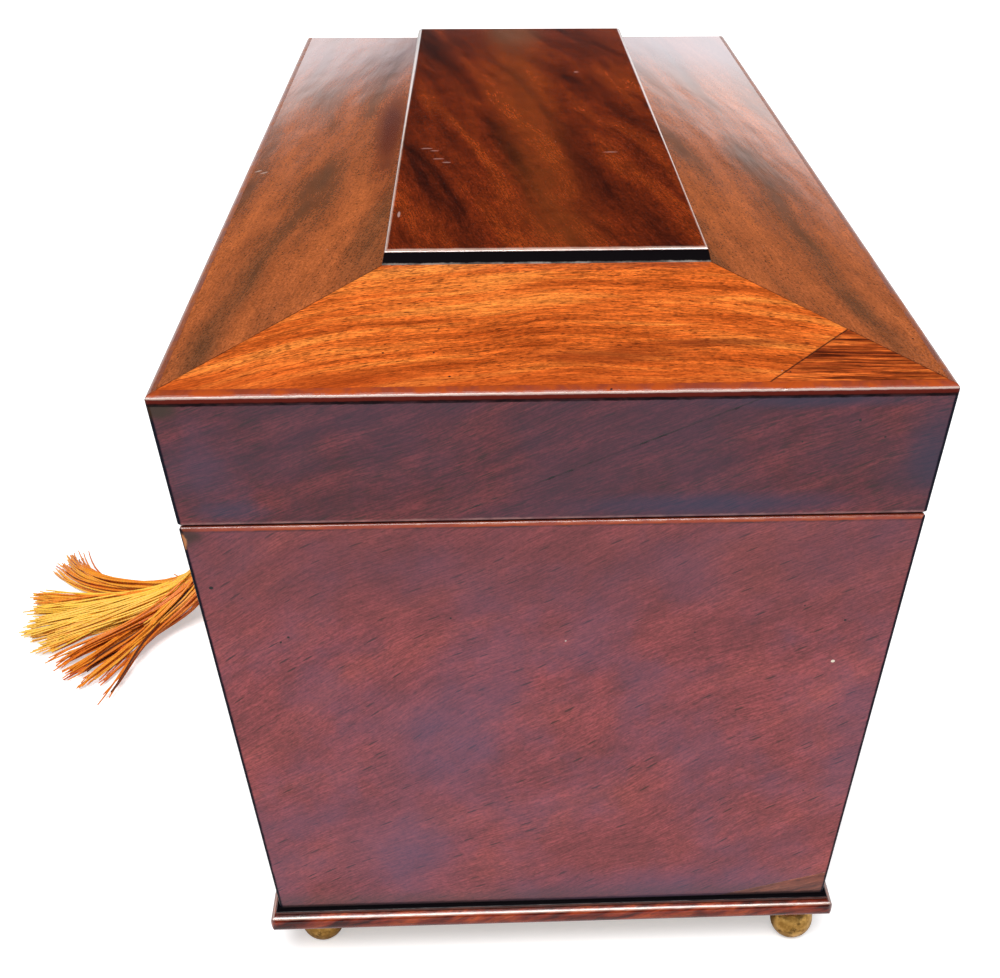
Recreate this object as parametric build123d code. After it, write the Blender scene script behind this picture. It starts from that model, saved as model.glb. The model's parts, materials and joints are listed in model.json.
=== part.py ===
from build123d import *
from math import atan, cos, degrees, pi, radians, sin, sqrt, tan
import os

os.makedirs("parts", exist_ok=True)

# An antique tea caddy of sarcophagus form, in millimetres, +Z up.
# +X is the right-hand end, -Y the front with the lock.
# The origin is on the floor below the middle of the case.

# Case, widest at the rim of the lid
RIM_LENGTH = 330.0
RIM_DEPTH = 150.0
TAPER = 0.096  # inward lean of every wall for each mm of drop
FOOT_HEIGHT = 9.5
PLINTH_HEIGHT = 6.75
BODY_HEIGHT = 102.75
LID_GAP = 0.4
LID_WALL_HEIGHT = 27.4
HIP_RISE = 8.7
TABLET_RISE = 3.1

# Boards and veneers
BODY_WALL = 9.0
LID_WALL = 8.0
LID_TOP_THICKNESS = 16.0
VENEER = 1.0
PARTITION = 5.0
RIM_BAND = 2.2
RIM_ROUND = 1.5
BODY_ARRIS = 1.2
CORNER_ROUND = 1.0
MITRE_REACH = 60.0
CUT_MARGIN = 20.0

# Tablet on the lid
TABLET_LENGTH = 236.2
TABLET_DEPTH = 67.6
TABLET_INSET = 0.75
TABLET_ROUND = 1.3

# Repair patches in the veneer
SLOPE_PATCH_START = 39.6
END_PATCH_START = 38.4
END_PATCH_RISE = 6.4

# Base moulding and feet
PLINTH_PROJECTION = 2.2
PLINTH_UNDER = 2.5
PLINTH_UNDERCUT = 1.2
PLINTH_NOSE_DROP = 3.6
BEAD_START = 0.5
BEAD_DROP = 0.6
BEAD_DEPTH = 0.9
BEAD_SWELL = 0.4
NOSE_DEPTH = 4.1
NOSE_RETURN = 1.0
NOSE_CORNER = 2.5
NOSE_CORNER_CLEARANCE = 0.1
FOOT_DIAMETER = 10.0
FRONT_FOOT_INSET = (11.9, 10.5)
BACK_FOOT_INSET = (7.8, 7.9)
FOOT_COLLAR = 2.6
FOOT_COLLAR_HEIGHT = 0.7
FOOT_SPIGOT = 1.2
FOOT_SPIGOT_LENGTH = 3.8

# Inside of the body
WELL_HALF = 56.0
INNER_LID_DROP = 8.3
INNER_LID_THICKNESS = 4.0
INNER_LID_GAP = 0.4
INNER_LID_BEARING = 2.2
INNER_LID_SEAT_GAP = 0.3
LEDGE = 4.0
RAIL_DEPTH = 12.0
RAIL_HEIGHT = 8.0
LINING = 0.5
PAD_THICKNESS = 1.5
LID_LINING = 0.8
LID_LINING_MARGIN = 1.0
SOFT_GAP = 0.3

# Knob of an inner lid
KNOB_DIAMETER = 10.0
KNOB_HEIGHT = 10.5
KNOB_WAIST = 4.4
KNOB_FOOT = 8.0
KNOB_NECK_HEIGHT = 3.4
KNOB_BELLY_HEIGHT = 7.0
KNOB_TOP = 3.2
KNOB_SPIGOT = 3.0
KNOB_SCOOP = 0.5

# Mixing bowl
BOWL_DIAMETER = 90.0
BOWL_HEIGHT = 97.95
BOWL_WALL = 3.2
BOWL_FOOT_DIAMETER = 48.0
BOWL_FOOT_THICKNESS = 3.0
BOWL_WAIST_DIAMETER = 30.0
BOWL_WAIST_HEIGHT = 9.0
BOWL_SHOULDER_HEIGHT = 42.0
BOWL_SHOULDER_DIAMETER = 80.0
BOWL_FLOOR_HEIGHT = 15.0
BOWL_FLOOR_DIAMETER = 12.0
BOWL_LIP = 1.0
BOWL_BELLY = 1.5
BOWL_OUTER_BULGE = 0.68
BOWL_INNER_BULGE = 0.70
BOWL_CLEARANCE = 1.0

# Main hinges
HINGE_PLACE = 95.0
HINGE_LENGTH = 32.0
HINGE_LEAF = 7.2
HINGE_PLATE = 1.2
HINGE_OFFSET = 1.2
KNUCKLE_RADIUS = 2.2
PIN_RADIUS = 0.9
PIN_FIT = 0.03
KNUCKLE_GAP = 0.3
KNUCKLE_CLEARANCE = 0.35
KNUCKLES = 5
HINGE_SCREWS = 3

# Hinges of the inner lids
SMALL_HINGE_PLACE = 26.0
SMALL_HINGE_LENGTH = 16.0
SMALL_LEAF = 6.0
SMALL_PLATE = 0.8
SMALL_OFFSET = 0.6
SMALL_KNUCKLE_RADIUS = 1.5
SMALL_PIN_RADIUS = 0.6
SMALL_KNUCKLES = 3

# Screws, countersunk
SCREW_HEAD = 1.8
SCREW_SHANK = 1.0
SCREW_CONE = 0.8
SCREW_LENGTH = 7.0
SMALL_SCREW_HEAD = 1.3
SMALL_SCREW_SHANK = 0.7
SMALL_SCREW_CONE = 0.6
SMALL_SCREW_LENGTH = 4.0

# Lock, in the plane of the front face: across, up the slope, and outwards
KEY_DROP = 14.5
BACKPLATE_LENGTH = 50.0
BACKPLATE_HEIGHT = 26.0
BACKPLATE = 0.8
SELVEDGE_WIDTH = 7.0
SELVEDGE = 1.2
CASE_LENGTH = 37.6
CASE_BOTTOM = 24.0
CASE_DEPTH = 6.0
CASE_WALL = 0.8
BOLT_THROW = 6.0
BOLT_THICKNESS = 3.0
BOLT_TAIL = 15.0
BOLT_TOP = 3.0
BAR_HEIGHT = 6.2
BAR_END = 4.2
HORN_TIP = 10.2
HORN_HEIGHT = 2.2
HORN_THICKNESS = 1.6
HORN_DROP = 3.6
STUD_PLACE = 6.0
STUD_DROP = 5.0
STUD_RADIUS = 0.8
STUD_GAP = 0.3
DRILL_PIN_RADIUS = 1.0
DRILL_PIN_LENGTH = 3.4
LOCK_SCREW_PLACE = 21.6
LOCK_SCREW_RISE = 8.0

# Link plate in the lid, with the eye that takes the bolt
LINK_LENGTH = 44.0
LINK_PLATE = 1.2
LINK_MARGIN = 2.0
EYE_PLACE = 11.6
EYE_THICKNESS = 1.6
EYE_DEPTH = 9.0
EYE_WIDTH = 4.0
EYE_CLEARANCE = 0.6
EYE_HOLE_GAP = 0.35
LINK_SCREW_PLACE = 16.0

# Key
KEY_SHAFT = 2.0
KEY_FIT = 0.02
KEY_END_GAP = 0.3
KEY_REACH = 24.0
BIT_RADIUS = 7.0
BIT_THICKNESS = 2.0
BIT_LENGTH = 3.8
BIT_SETBACK = 0.5
WARD_CUT = 0.9
BIT_SWING_GAP = 0.5
KEYHOLE_GAP = 0.4
COLLAR_RADIUS = 3.1
COLLAR_WIDTH = 1.4
COLLAR_OUT = 2.0
NECK_OUT = 7.4
BOW_WIDTH = 14.0
BOW_HEIGHT = 18.0
BOW_RIM = 3.0
BOW_THICKNESS = 2.4
ESCUTCHEON_RIM = 1.0
ESCUTCHEON_DEPTH = 1.8

# Tassel, hung on the neck of the key and spread on the table
LOOP_RADIUS = 3.4
LOOP_CORD = 1.0
CORD_DIAMETER = 2.2
CORD_POINTS = [
    (0.0, -78.0, 99.3),
    (-0.9, -80.6, 88.0),
    (-3.2, -85.6, 72.0),
    (-5.9, -91.6, 57.5),
    (-7.6, -96.2, 47.0),
    (-7.6, -97.0, 36.2),
]
CORD_SHARE = 0.45
HEAD_RADIUS = 6.4
HEAD_HEIGHT = 14.0
HEAD_NECK = 4.2
HEAD_BAND = 2.6
HEAD_SWELL = 0.5
SKIRT_CLEARANCE = 0.3
SKIRT_NECK_HEIGHT = 22.0
SKIRT_FOOT = 6.5
SKIRT_SPREAD = 88.0
SKIRT_TURN = 13.5
SKIRT_CLUMPS = 9
SKIRT_REACH = 62.0
SKIRT_LEFT_GAIN = 12.0
SKIRT_WAVE = 3.0
SKIRT_WAVES = 5.0
SKIRT_SHOULDER_OUT = 2.0
SKIRT_SHOULDER_RISE = 0.62
SKIRT_KNEE_OUT = 0.24
SKIRT_KNEE_RISE = 0.38
SKIRT_MIDDLE_OUT = 0.5
SKIRT_MIDDLE_RISE = 0.26
SKIRT_TIP = 1.6
SKIRT_SPLIT = 1.6
SKIRT_SPLIT_START = 0.62
SKIRT_SPLIT_STEP = 0.12
SKIRT_SPLIT_KINDS = 3

# Levels, from the floor up
PLINTH_Z = FOOT_HEIGHT
FLOOR_Z = PLINTH_Z + PLINTH_HEIGHT
BODY_Z = FLOOR_Z + BODY_HEIGHT
LID_Z = BODY_Z + LID_GAP
RIM_Z = LID_Z + LID_WALL_HEIGHT
HIP_Z = RIM_Z + HIP_RISE
TABLET_Z = HIP_Z + TABLET_RISE
CEILING_Z = HIP_Z - VENEER - LID_TOP_THICKNESS
INNER_Z = BODY_Z - INNER_LID_DROP
INNER_UNDER_Z = INNER_Z - INNER_LID_THICKNESS
LEAN = atan(TAPER)

# The sides in order round the case: a wall made along the back takes a quarter turn to each next one
SIDES = ("back", "right", "front", "left")


def half_length(z):
    """Half the case's length at a level, at its outer face."""
    return RIM_LENGTH / 2 - TAPER * (RIM_Z - z)


def half_depth(z):
    """Half the case's depth at a level, at its outer face."""
    return RIM_DEPTH / 2 - TAPER * (RIM_Z - z)


def is_long(side):
    return side in ("front", "back")


def turned(side, solid):
    """Bring a solid made along the back round to one side."""
    return Rot(0, 0, -90 * SIDES.index(side)) * solid


def outer(side, z):
    """How far a side's outer face stands from the middle of the case."""
    return half_depth(z) if is_long(side) else half_length(z)


def half_run(side):
    """Half the length of a side at the rim."""
    return (RIM_LENGTH if is_long(side) else RIM_DEPTH) / 2


def block(x, y, z):
    """A box between the low and high limits of each axis."""
    spans = (x, y, z)
    centre = [(low + high) / 2 for low, high in spans]
    return Pos(*centre) * Box(*[high - low for low, high in spans])


def outline(points, rounds=()):
    """A closed outline on the XY plane, with some corners rounded, each given as (point, radius)."""
    face = make_face(Polyline(*points, close=True))
    for place, radius in rounds:
        corner = face.vertices().sort_by_distance((place[0], place[1], 0))[0]
        face = fillet(corner, radius)
    return face


def tapered_block(inset, low, high):
    """The space inside the walls, inset from their outer faces, between two levels."""
    depth = [(-half_depth(low) + inset, low), (half_depth(low) - inset, low)]
    depth += [(half_depth(high) - inset, high), (-half_depth(high) + inset, high)]
    length = [(-half_length(low) + inset, low), (half_length(low) - inset, low)]
    length += [(half_length(high) - inset, high), (-half_length(high) + inset, high)]
    along = extrude(Plane.YZ * outline(depth), RIM_LENGTH, both=True)
    across = extrude(Plane.XZ * outline(length), RIM_DEPTH, both=True)
    return along & across


def worn_block(low, high):
    """The space inside the outer faces between two levels, with its four upright corners worn round."""
    whole = tapered_block(0, low, high)
    corners = [edge for edge in whole.edges() if abs(edge.tangent_at(0.5).Z) > cos(2 * LEAN)]
    return fillet(corners, CORNER_ROUND)


def mitre_wedge(side):
    """Everything above a side's own share of the plan, between the two vertical mitre planes."""
    run = half_run(side)
    across = outer(side, RIM_Z)
    plan = [
        (-run - CUT_MARGIN, across + CUT_MARGIN),
        (run + CUT_MARGIN, across + CUT_MARGIN),
        (run - MITRE_REACH, across - MITRE_REACH),
        (MITRE_REACH - run, across - MITRE_REACH),
    ]
    return extrude(outline(plan), TABLET_Z + CUT_MARGIN)


def mitred(side, profile):
    """A profile (distance out, level) run along one side and mitred at both ends."""
    bar = extrude(Plane.YZ * profile, half_run(side) + CUT_MARGIN, both=True)
    return turned(side, bar & mitre_wedge(side))


def body_board(side):
    """One tapered board of the body, with its top outer arris rubbed round."""
    top = (outer(side, BODY_Z), BODY_Z)
    points = [
        (outer(side, FLOOR_Z), FLOOR_Z),
        top,
        (top[0] - BODY_WALL, BODY_Z),
        (outer(side, FLOOR_Z) - BODY_WALL, FLOOR_Z),
    ]
    return mitred(side, outline(points, [(top, BODY_ARRIS)])) & worn_block(FLOOR_Z, BODY_Z)


def slope(side):
    """Rise for each mm inwards on one slope of the lid."""
    edge = TABLET_DEPTH if is_long(side) else TABLET_LENGTH
    return HIP_RISE / (outer(side, RIM_Z) - edge / 2)


def lid_wall(side):
    """One wall of the lid, with the rounded rim band that frames the slope veneer."""
    rim = outer(side, RIM_Z)
    climb = slope(side)
    points = [
        (outer(side, LID_Z), LID_Z),
        (rim, RIM_Z),
        (rim - RIM_BAND, RIM_Z + RIM_BAND * climb),
        (rim - RIM_BAND, RIM_Z + RIM_BAND * climb - VENEER),
        (rim - LID_WALL, RIM_Z + LID_WALL * climb - VENEER),
        (rim - LID_WALL, RIM_Z),
        (outer(side, LID_Z) - LID_WALL, LID_Z),
    ]
    wall = mitred(side, outline(points, [((rim, RIM_Z), RIM_ROUND)])) & worn_block(LID_Z, HIP_Z)
    if is_long(side):
        wall -= lid_slope("left")
        wall -= lid_slope("right")
    return wall


def lid_slope(side):
    """The veneer on one slope of the lid, mitred along the hips."""
    rim = outer(side, RIM_Z)
    run = half_run(side)
    inner = (TABLET_DEPTH if is_long(side) else TABLET_LENGTH) / 2
    inner_run = (TABLET_LENGTH if is_long(side) else TABLET_DEPTH) / 2
    start = (rim - RIM_BAND, RIM_Z + RIM_BAND * slope(side))
    profile = [start, (inner, HIP_Z), (inner, HIP_Z - VENEER), (start[0], start[1] - VENEER)]
    bar = extrude(Plane.YZ * outline(profile), run - RIM_BAND, both=True)
    hip = (run - inner_run) / (rim - inner)
    plan = [
        (-run - CUT_MARGIN * hip, rim + CUT_MARGIN),
        (run + CUT_MARGIN * hip, rim + CUT_MARGIN),
        (inner_run - CUT_MARGIN * hip, inner - CUT_MARGIN),
        (CUT_MARGIN * hip - inner_run, inner - CUT_MARGIN),
    ]
    return turned(side, bar & extrude(outline(plan), TABLET_Z + CUT_MARGIN))


def slope_patch_cutter():
    """The pieced-in corner of the right slope: all that lies beyond a straight joint to the hip."""
    run_x = (RIM_LENGTH - TABLET_LENGTH) / 2
    run_y = (RIM_DEPTH - TABLET_DEPTH) / 2
    edge_x = RIM_LENGTH / 2 - RIM_BAND
    hip_share = (RIM_DEPTH / 2 - (SLOPE_PATCH_START + RIM_DEPTH / 2) / 2) / run_y
    hip_point = (RIM_LENGTH / 2 - hip_share * run_x, RIM_DEPTH / 2 - hip_share * run_y)
    plan = [
        (edge_x, SLOPE_PATCH_START),
        hip_point,
        (hip_point[0], RIM_DEPTH),
        (RIM_LENGTH, RIM_DEPTH),
        (RIM_LENGTH, SLOPE_PATCH_START),
    ]
    return extrude(outline(plan), TABLET_Z + CUT_MARGIN)


def end_patch_cutter():
    """The low corner of the right end board that was pieced in, one veneer deep."""
    climb = END_PATCH_RISE / (half_depth(FLOOR_Z) - END_PATCH_START)
    far = RIM_DEPTH
    peak = FLOOR_Z + climb * (far - END_PATCH_START)
    triangle = [(END_PATCH_START, FLOOR_Z), (far, FLOOR_Z), (far, peak)]
    prism = extrude(Plane.YZ * outline(triangle), RIM_LENGTH)
    return prism - tapered_block(VENEER, FLOOR_Z, BODY_Z)


def lid_top_board():
    """The bevelled board under the veneers, between the walls of the lid."""
    def section(side, flat):
        low = outer(side, CEILING_Z) - LID_WALL
        rim = outer(side, RIM_Z)
        top = rim - LID_WALL
        edge = RIM_Z + LID_WALL * slope(side) - VENEER
        half = [(low, CEILING_Z), (top, RIM_Z), (top, edge), (flat / 2, HIP_Z - VENEER)]
        return outline(half + [(-x, z) for x, z in reversed(half)])
    along = extrude(Plane.YZ * section("back", TABLET_DEPTH), RIM_LENGTH, both=True)
    across = extrude(Plane.XZ * section("right", TABLET_LENGTH), RIM_DEPTH, both=True)
    return along & across


def lid_tablet():
    """The raised tablet, with its sides drawn in a little and its top arris rounded."""
    def section(size):
        top = size / 2 - TABLET_INSET
        half = [(size / 2, HIP_Z - VENEER), (size / 2, HIP_Z), (top, TABLET_Z)]
        return outline(half + [(-x, z) for x, z in reversed(half)])
    along = extrude(Plane.YZ * section(TABLET_DEPTH), RIM_LENGTH, both=True)
    across = extrude(Plane.XZ * section(TABLET_LENGTH), RIM_DEPTH, both=True)
    tablet = along & across
    return fillet(tablet.faces().sort_by(Axis.Z)[-1].edges(), TABLET_ROUND)


def lid_lining():
    """The lining sheet glued under the top board."""
    return tapered_block(LID_WALL + LID_LINING_MARGIN, CEILING_Z - LID_LINING, CEILING_Z)


def nose_plan():
    """A prism round the base moulding whose corners wear its nose round."""
    reach = PLINTH_PROJECTION + NOSE_CORNER_CLEARANCE
    length = 2 * (half_length(FLOOR_Z) + reach)
    depth = 2 * (half_depth(FLOOR_Z) + reach)
    return extrude(RectangleRounded(length, depth, NOSE_CORNER), RIM_Z)


def plinth_moulding(side):
    """One mitred length of the base moulding: a small bead, a rounded nose and an undercut lower band."""
    face = outer(side, FLOOR_Z)
    bead_z = FLOOR_Z - BEAD_DROP
    step = (face, FLOOR_Z)
    step_low = (face, bead_z)
    bead_top = (face + BEAD_START, bead_z)
    bead_low = (face + BEAD_START, bead_z - BEAD_DEPTH)
    bead_mid = (face + BEAD_START + BEAD_SWELL, bead_z - BEAD_DEPTH / 2)
    nose = (face + PLINTH_PROJECTION, FLOOR_Z - PLINTH_NOSE_DROP)
    nose_low = (face + NOSE_RETURN, bead_z - BEAD_DEPTH - NOSE_DEPTH)
    under = (face - PLINTH_UNDERCUT, PLINTH_Z)
    inner_low = (face - PLINTH_UNDER, PLINTH_Z)
    inner_top = (face - PLINTH_UNDER, FLOOR_Z)
    edges = [
        Line(inner_top, step),
        Line(step, step_low),
        Line(step_low, bead_top),
        ThreePointArc(bead_top, bead_mid, bead_low),
        ThreePointArc(bead_low, nose, nose_low),
        Line(nose_low, under),
        Line(under, inner_low),
        Line(inner_low, inner_top),
    ]
    return mitred(side, make_face(Curve() + edges)) & nose_plan()


def base_half_length():
    return half_length(FLOOR_Z) - PLINTH_UNDER


def base_half_depth():
    return half_depth(FLOOR_Z) - PLINTH_UNDER


def foot_places():
    """Centres of the four feet, set by eye: the front pair stands further in than the back pair."""
    places = []
    for across, (inset_x, inset_y) in ((-1, FRONT_FOOT_INSET), (1, BACK_FOOT_INSET)):
        x = half_length(FLOOR_Z) + PLINTH_PROJECTION - inset_x
        y = half_depth(FLOOR_Z) + PLINTH_PROJECTION - inset_y
        places += [(-x, across * y), (x, across * y)]
    return places


def foot():
    """A turned brass ball foot with a small flat to stand on, a collar and a spigot."""
    radius = FOOT_DIAMETER / 2
    centre = (FOOT_HEIGHT - FOOT_COLLAR_HEIGHT) / 2
    flat = sqrt(radius**2 - centre**2)
    curve = Curve() + [
        Line((0, 0), (flat, 0)),
        ThreePointArc((flat, 0), (radius, centre), (flat, 2 * centre)),
        Line((flat, 2 * centre), (0, 2 * centre)),
        Line((0, 2 * centre), (0, 0)),
    ]
    body = revolve(Plane.XZ * make_face(curve), Axis.Z)
    collar = Pos(0, 0, FOOT_HEIGHT - FOOT_COLLAR_HEIGHT / 2) * Cylinder(FOOT_COLLAR, FOOT_COLLAR_HEIGHT)
    return body + collar + foot_spigot()


def foot_spigot():
    return Pos(0, 0, FOOT_HEIGHT + FOOT_SPIGOT_LENGTH / 2) * Cylinder(FOOT_SPIGOT, FOOT_SPIGOT_LENGTH)


def base_board():
    """The board under the case, drilled for the spigots of the feet."""
    x = base_half_length()
    y = base_half_depth()
    board = block((-x, x), (-y, y), (PLINTH_Z, FLOOR_Z))
    for place in foot_places():
        board -= Pos(*place) * foot_spigot()
    return board


def partition(hand):
    """A partition between the bowl's well and a tea compartment."""
    span = sorted((hand * WELL_HALF, hand * (WELL_HALF + PARTITION)))
    inside = tapered_block(BODY_WALL, FLOOR_Z, INNER_UNDER_Z)
    return inside & block(span, (-RIM_DEPTH, RIM_DEPTH), (0, RIM_Z))


def compartment(hand, inset, low, high):
    """The inside of a tea compartment between two levels, drawn in from its walls by an inset."""
    near = WELL_HALF + PARTITION + inset
    span = sorted((hand * near, hand * RIM_LENGTH))
    return tapered_block(BODY_WALL + inset, low, high) & block(span, (-RIM_DEPTH, RIM_DEPTH), (0, RIM_Z))


def rail_front():
    """Where the hinge rail of an inner lid begins, measured from the middle."""
    return half_depth(INNER_UNDER_Z) - BODY_WALL - RAIL_DEPTH


def tea_lining(hand):
    """The thin metal foil box inside a tea compartment."""
    top = INNER_UNDER_Z - LEDGE
    return compartment(hand, 0, FLOOR_Z, top) - compartment(hand, LINING, FLOOR_Z + LINING, top + LINING)


def hinge_rail(hand):
    """The fixed strip at the back of a compartment that carries the inner lid's hinges."""
    strip = compartment(hand, 0, INNER_Z - RAIL_HEIGHT, INNER_Z)
    bearing = block(
        sorted((hand * (WELL_HALF + PARTITION - INNER_LID_BEARING), hand * (WELL_HALF + PARTITION))),
        (-RIM_DEPTH, half_depth(INNER_UNDER_Z) - BODY_WALL),
        (INNER_UNDER_Z, INNER_Z),
    )
    behind = block((-RIM_LENGTH, RIM_LENGTH), (rail_front(), RIM_DEPTH), (0, RIM_Z))
    rail = (strip + bearing) & behind
    for hinge in small_hinges(hand):
        rail -= hinge.rail_recess()
    return rail


def lid_ledges():
    """The strips that hold up the inner lids at the front and at the ends."""
    ledges = []
    low = INNER_UNDER_Z - LEDGE
    for hand in (-1, 1):
        room = compartment(hand, 0, low, INNER_UNDER_Z)
        front = half_depth(low) - BODY_WALL - LEDGE
        end = half_length(low) - BODY_WALL - LEDGE
        ledges.append(room & block((-RIM_LENGTH, RIM_LENGTH), (-RIM_DEPTH, -front), (0, RIM_Z)))
        span = sorted((hand * end, hand * RIM_LENGTH))
        ledges.append(room & block(span, (-front, rail_front()), (0, RIM_Z)))
    return ledges


def inner_lid_limits(hand):
    """Low and high limits of an inner lid on X and Y."""
    near = WELL_HALF + PARTITION - INNER_LID_BEARING
    far = half_length(INNER_UNDER_Z) - BODY_WALL - INNER_LID_GAP
    front = half_depth(INNER_UNDER_Z) - BODY_WALL - INNER_LID_GAP
    return sorted((hand * near, hand * far)), (-front, rail_front() - INNER_LID_GAP)


def knob_place(hand):
    x, y = inner_lid_limits(hand)
    return (x[0] + x[1]) / 2, (y[0] + y[1]) / 2


def inner_lid(hand):
    """A flat inner lid, bored for its knob and recessed for its hinges."""
    x, y = inner_lid_limits(hand)
    lid = block(x, y, (INNER_UNDER_Z + INNER_LID_SEAT_GAP, INNER_Z))
    lid -= Pos(*knob_place(hand)) * knob_spigot()
    for hinge in small_hinges(hand):
        lid -= hinge.lid_recess()
    return lid


def knob_spigot():
    low = INNER_UNDER_Z + INNER_LID_SEAT_GAP
    return Pos(0, 0, (low + INNER_Z) / 2) * Cylinder(KNOB_SPIGOT / 2, INNER_Z - low)


def inner_lid_knob(hand):
    """A turned knob: a foot disc, a waist and a flattened ball."""
    foot_edge = (KNOB_FOOT / 2, 0)
    neck = (KNOB_WAIST / 2, KNOB_NECK_HEIGHT)
    belly = (KNOB_DIAMETER / 2, KNOB_BELLY_HEIGHT)
    top = (KNOB_TOP / 2, KNOB_HEIGHT)
    scoop = (KNOB_WAIST / 2 + KNOB_SCOOP, KNOB_NECK_HEIGHT / 2)
    curve = Curve() + [
        Line((0, 0), foot_edge),
        ThreePointArc(foot_edge, scoop, neck),
        ThreePointArc(neck, belly, top),
        Line(top, (0, KNOB_HEIGHT)),
        Line((0, KNOB_HEIGHT), (0, 0)),
    ]
    turned = revolve(Plane.XZ * make_face(curve), Axis.Z)
    return Pos(*knob_place(hand)) * (Pos(0, 0, INNER_Z) * turned + knob_spigot())


def bowl_surround():
    """The board over the well, with the round hole that the mixing bowl drops through."""
    half = WELL_HALF + PARTITION - INNER_LID_BEARING - INNER_LID_GAP
    board = tapered_block(BODY_WALL, INNER_UNDER_Z, INNER_Z)
    board &= block((-half, half), (-RIM_DEPTH, RIM_DEPTH), (0, RIM_Z))
    return board - Pos(0, 0, INNER_UNDER_Z) * Cylinder(BOWL_DIAMETER / 2 + BOWL_CLEARANCE, RIM_Z)


def bowl_pad():
    """The baize pad on the floor of the well."""
    return tapered_block(BODY_WALL, FLOOR_Z, FLOOR_Z + PAD_THICKNESS) & block(
        (-WELL_HALF, WELL_HALF), (-RIM_DEPTH, RIM_DEPTH), (0, RIM_Z)
    )


def mixing_bowl():
    """The glass mixing bowl: a flat foot, a short waist and a deep flaring bowl."""
    foot_edge = BOWL_FOOT_DIAMETER / 2
    waist = (BOWL_WAIST_DIAMETER / 2, BOWL_WAIST_HEIGHT)
    shoulder = (BOWL_SHOULDER_DIAMETER / 2, BOWL_SHOULDER_HEIGHT)
    rim = (BOWL_DIAMETER / 2, BOWL_HEIGHT - BOWL_LIP)
    floor = (BOWL_FLOOR_DIAMETER / 2, BOWL_FLOOR_HEIGHT)
    inner = (shoulder[0] - BOWL_WALL, BOWL_SHOULDER_HEIGHT)
    inner_rim = (rim[0] - BOWL_WALL, rim[1])
    out_x = waist[0] + (shoulder[0] - waist[0]) * BOWL_OUTER_BULGE
    sweep_out = (out_x, (waist[1] + shoulder[1]) / 2 - BOWL_BELLY)
    in_x = floor[0] + (inner[0] - floor[0]) * BOWL_INNER_BULGE
    sweep_in = (in_x, (floor[1] + inner[1]) / 2 - BOWL_BELLY)
    curve = Curve() + [
        Line((0, 0), (foot_edge, 0)),
        Line((foot_edge, 0), (foot_edge, BOWL_FOOT_THICKNESS)),
        Line((foot_edge, BOWL_FOOT_THICKNESS), waist),
        ThreePointArc(waist, sweep_out, shoulder),
        Line(shoulder, rim),
        ThreePointArc(rim, (rim[0] - BOWL_WALL / 2, BOWL_HEIGHT), inner_rim),
        Line(inner_rim, inner),
        ThreePointArc(inner, sweep_in, floor),
        Line(floor, (0, BOWL_FLOOR_HEIGHT)),
        Line((0, BOWL_FLOOR_HEIGHT), (0, 0)),
    ]
    bowl = revolve(Plane.XZ * make_face(curve), Axis.Z)
    return Pos(0, 0, FLOOR_Z + PAD_THICKNESS + SOFT_GAP) * bowl


def screw(head, shank, cone, length):
    """A countersunk wood screw that points down, with the top of its head at the origin."""
    points = [(0, 0), (head, 0), (shank, -cone), (shank, -length + shank * 2), (0, -length)]
    return revolve(Plane.XZ * outline(points), Axis.Z)


class ButtHinge:
    """A butt hinge about an axis along X: knuckles, two leaves and a pin, each with its recess."""

    def __init__(self, centre, length, radius, pin, leaf, knuckles):
        self.centre = centre
        self.length = length
        self.radius = radius
        self.pin_radius = pin
        self.leaf = leaf
        self.knuckles = knuckles

    def place(self, solid):
        return Pos(*self.centre) * solid

    def rod(self, radius, low, high):
        return Pos((low + high) / 2, 0, 0) * (Rot(0, 90, 0) * Cylinder(radius, high - low))

    def knuckle_spans(self, first):
        """Ends of the knuckles that one leaf owns: every second one, counted from the first."""
        pitch = self.length / self.knuckles
        spans = []
        for index in range(first, self.knuckles, 2):
            low = -self.length / 2 + index * pitch
            spans.append((low + KNUCKLE_GAP / 2, low + pitch - KNUCKLE_GAP / 2))
        return spans

    def clearance(self):
        half = self.length / 2 + KNUCKLE_CLEARANCE
        return self.rod(self.radius + KNUCKLE_CLEARANCE, -half, half)

    def plate_block(self, way, level):
        """The flat of a leaf, from the pin's line out to its far edge, at a level."""
        y = sorted((0, way * self.leaf))
        return block((-self.length / 2, self.length / 2), y, level)

    def leaf_solid(self, way, level, first):
        """A leaf with its knuckles, bored for the pin."""
        leaf = self.plate_block(way, level) - self.clearance()
        for low, high in self.knuckle_spans(first):
            tongue = block((low, high), sorted((0, way * (self.radius + KNUCKLE_CLEARANCE))), level)
            leaf += tongue + self.rod(self.radius, low, high)
        return leaf - self.rod(self.pin_radius + PIN_FIT, -self.length, self.length)

    def recess(self, way, level):
        """What a board gives up to the leaf and to the turning knuckles."""
        return self.place(self.plate_block(way, level) + self.clearance())

    def pin(self):
        return self.place(self.rod(self.pin_radius, -self.length / 2, self.length / 2))


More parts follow.
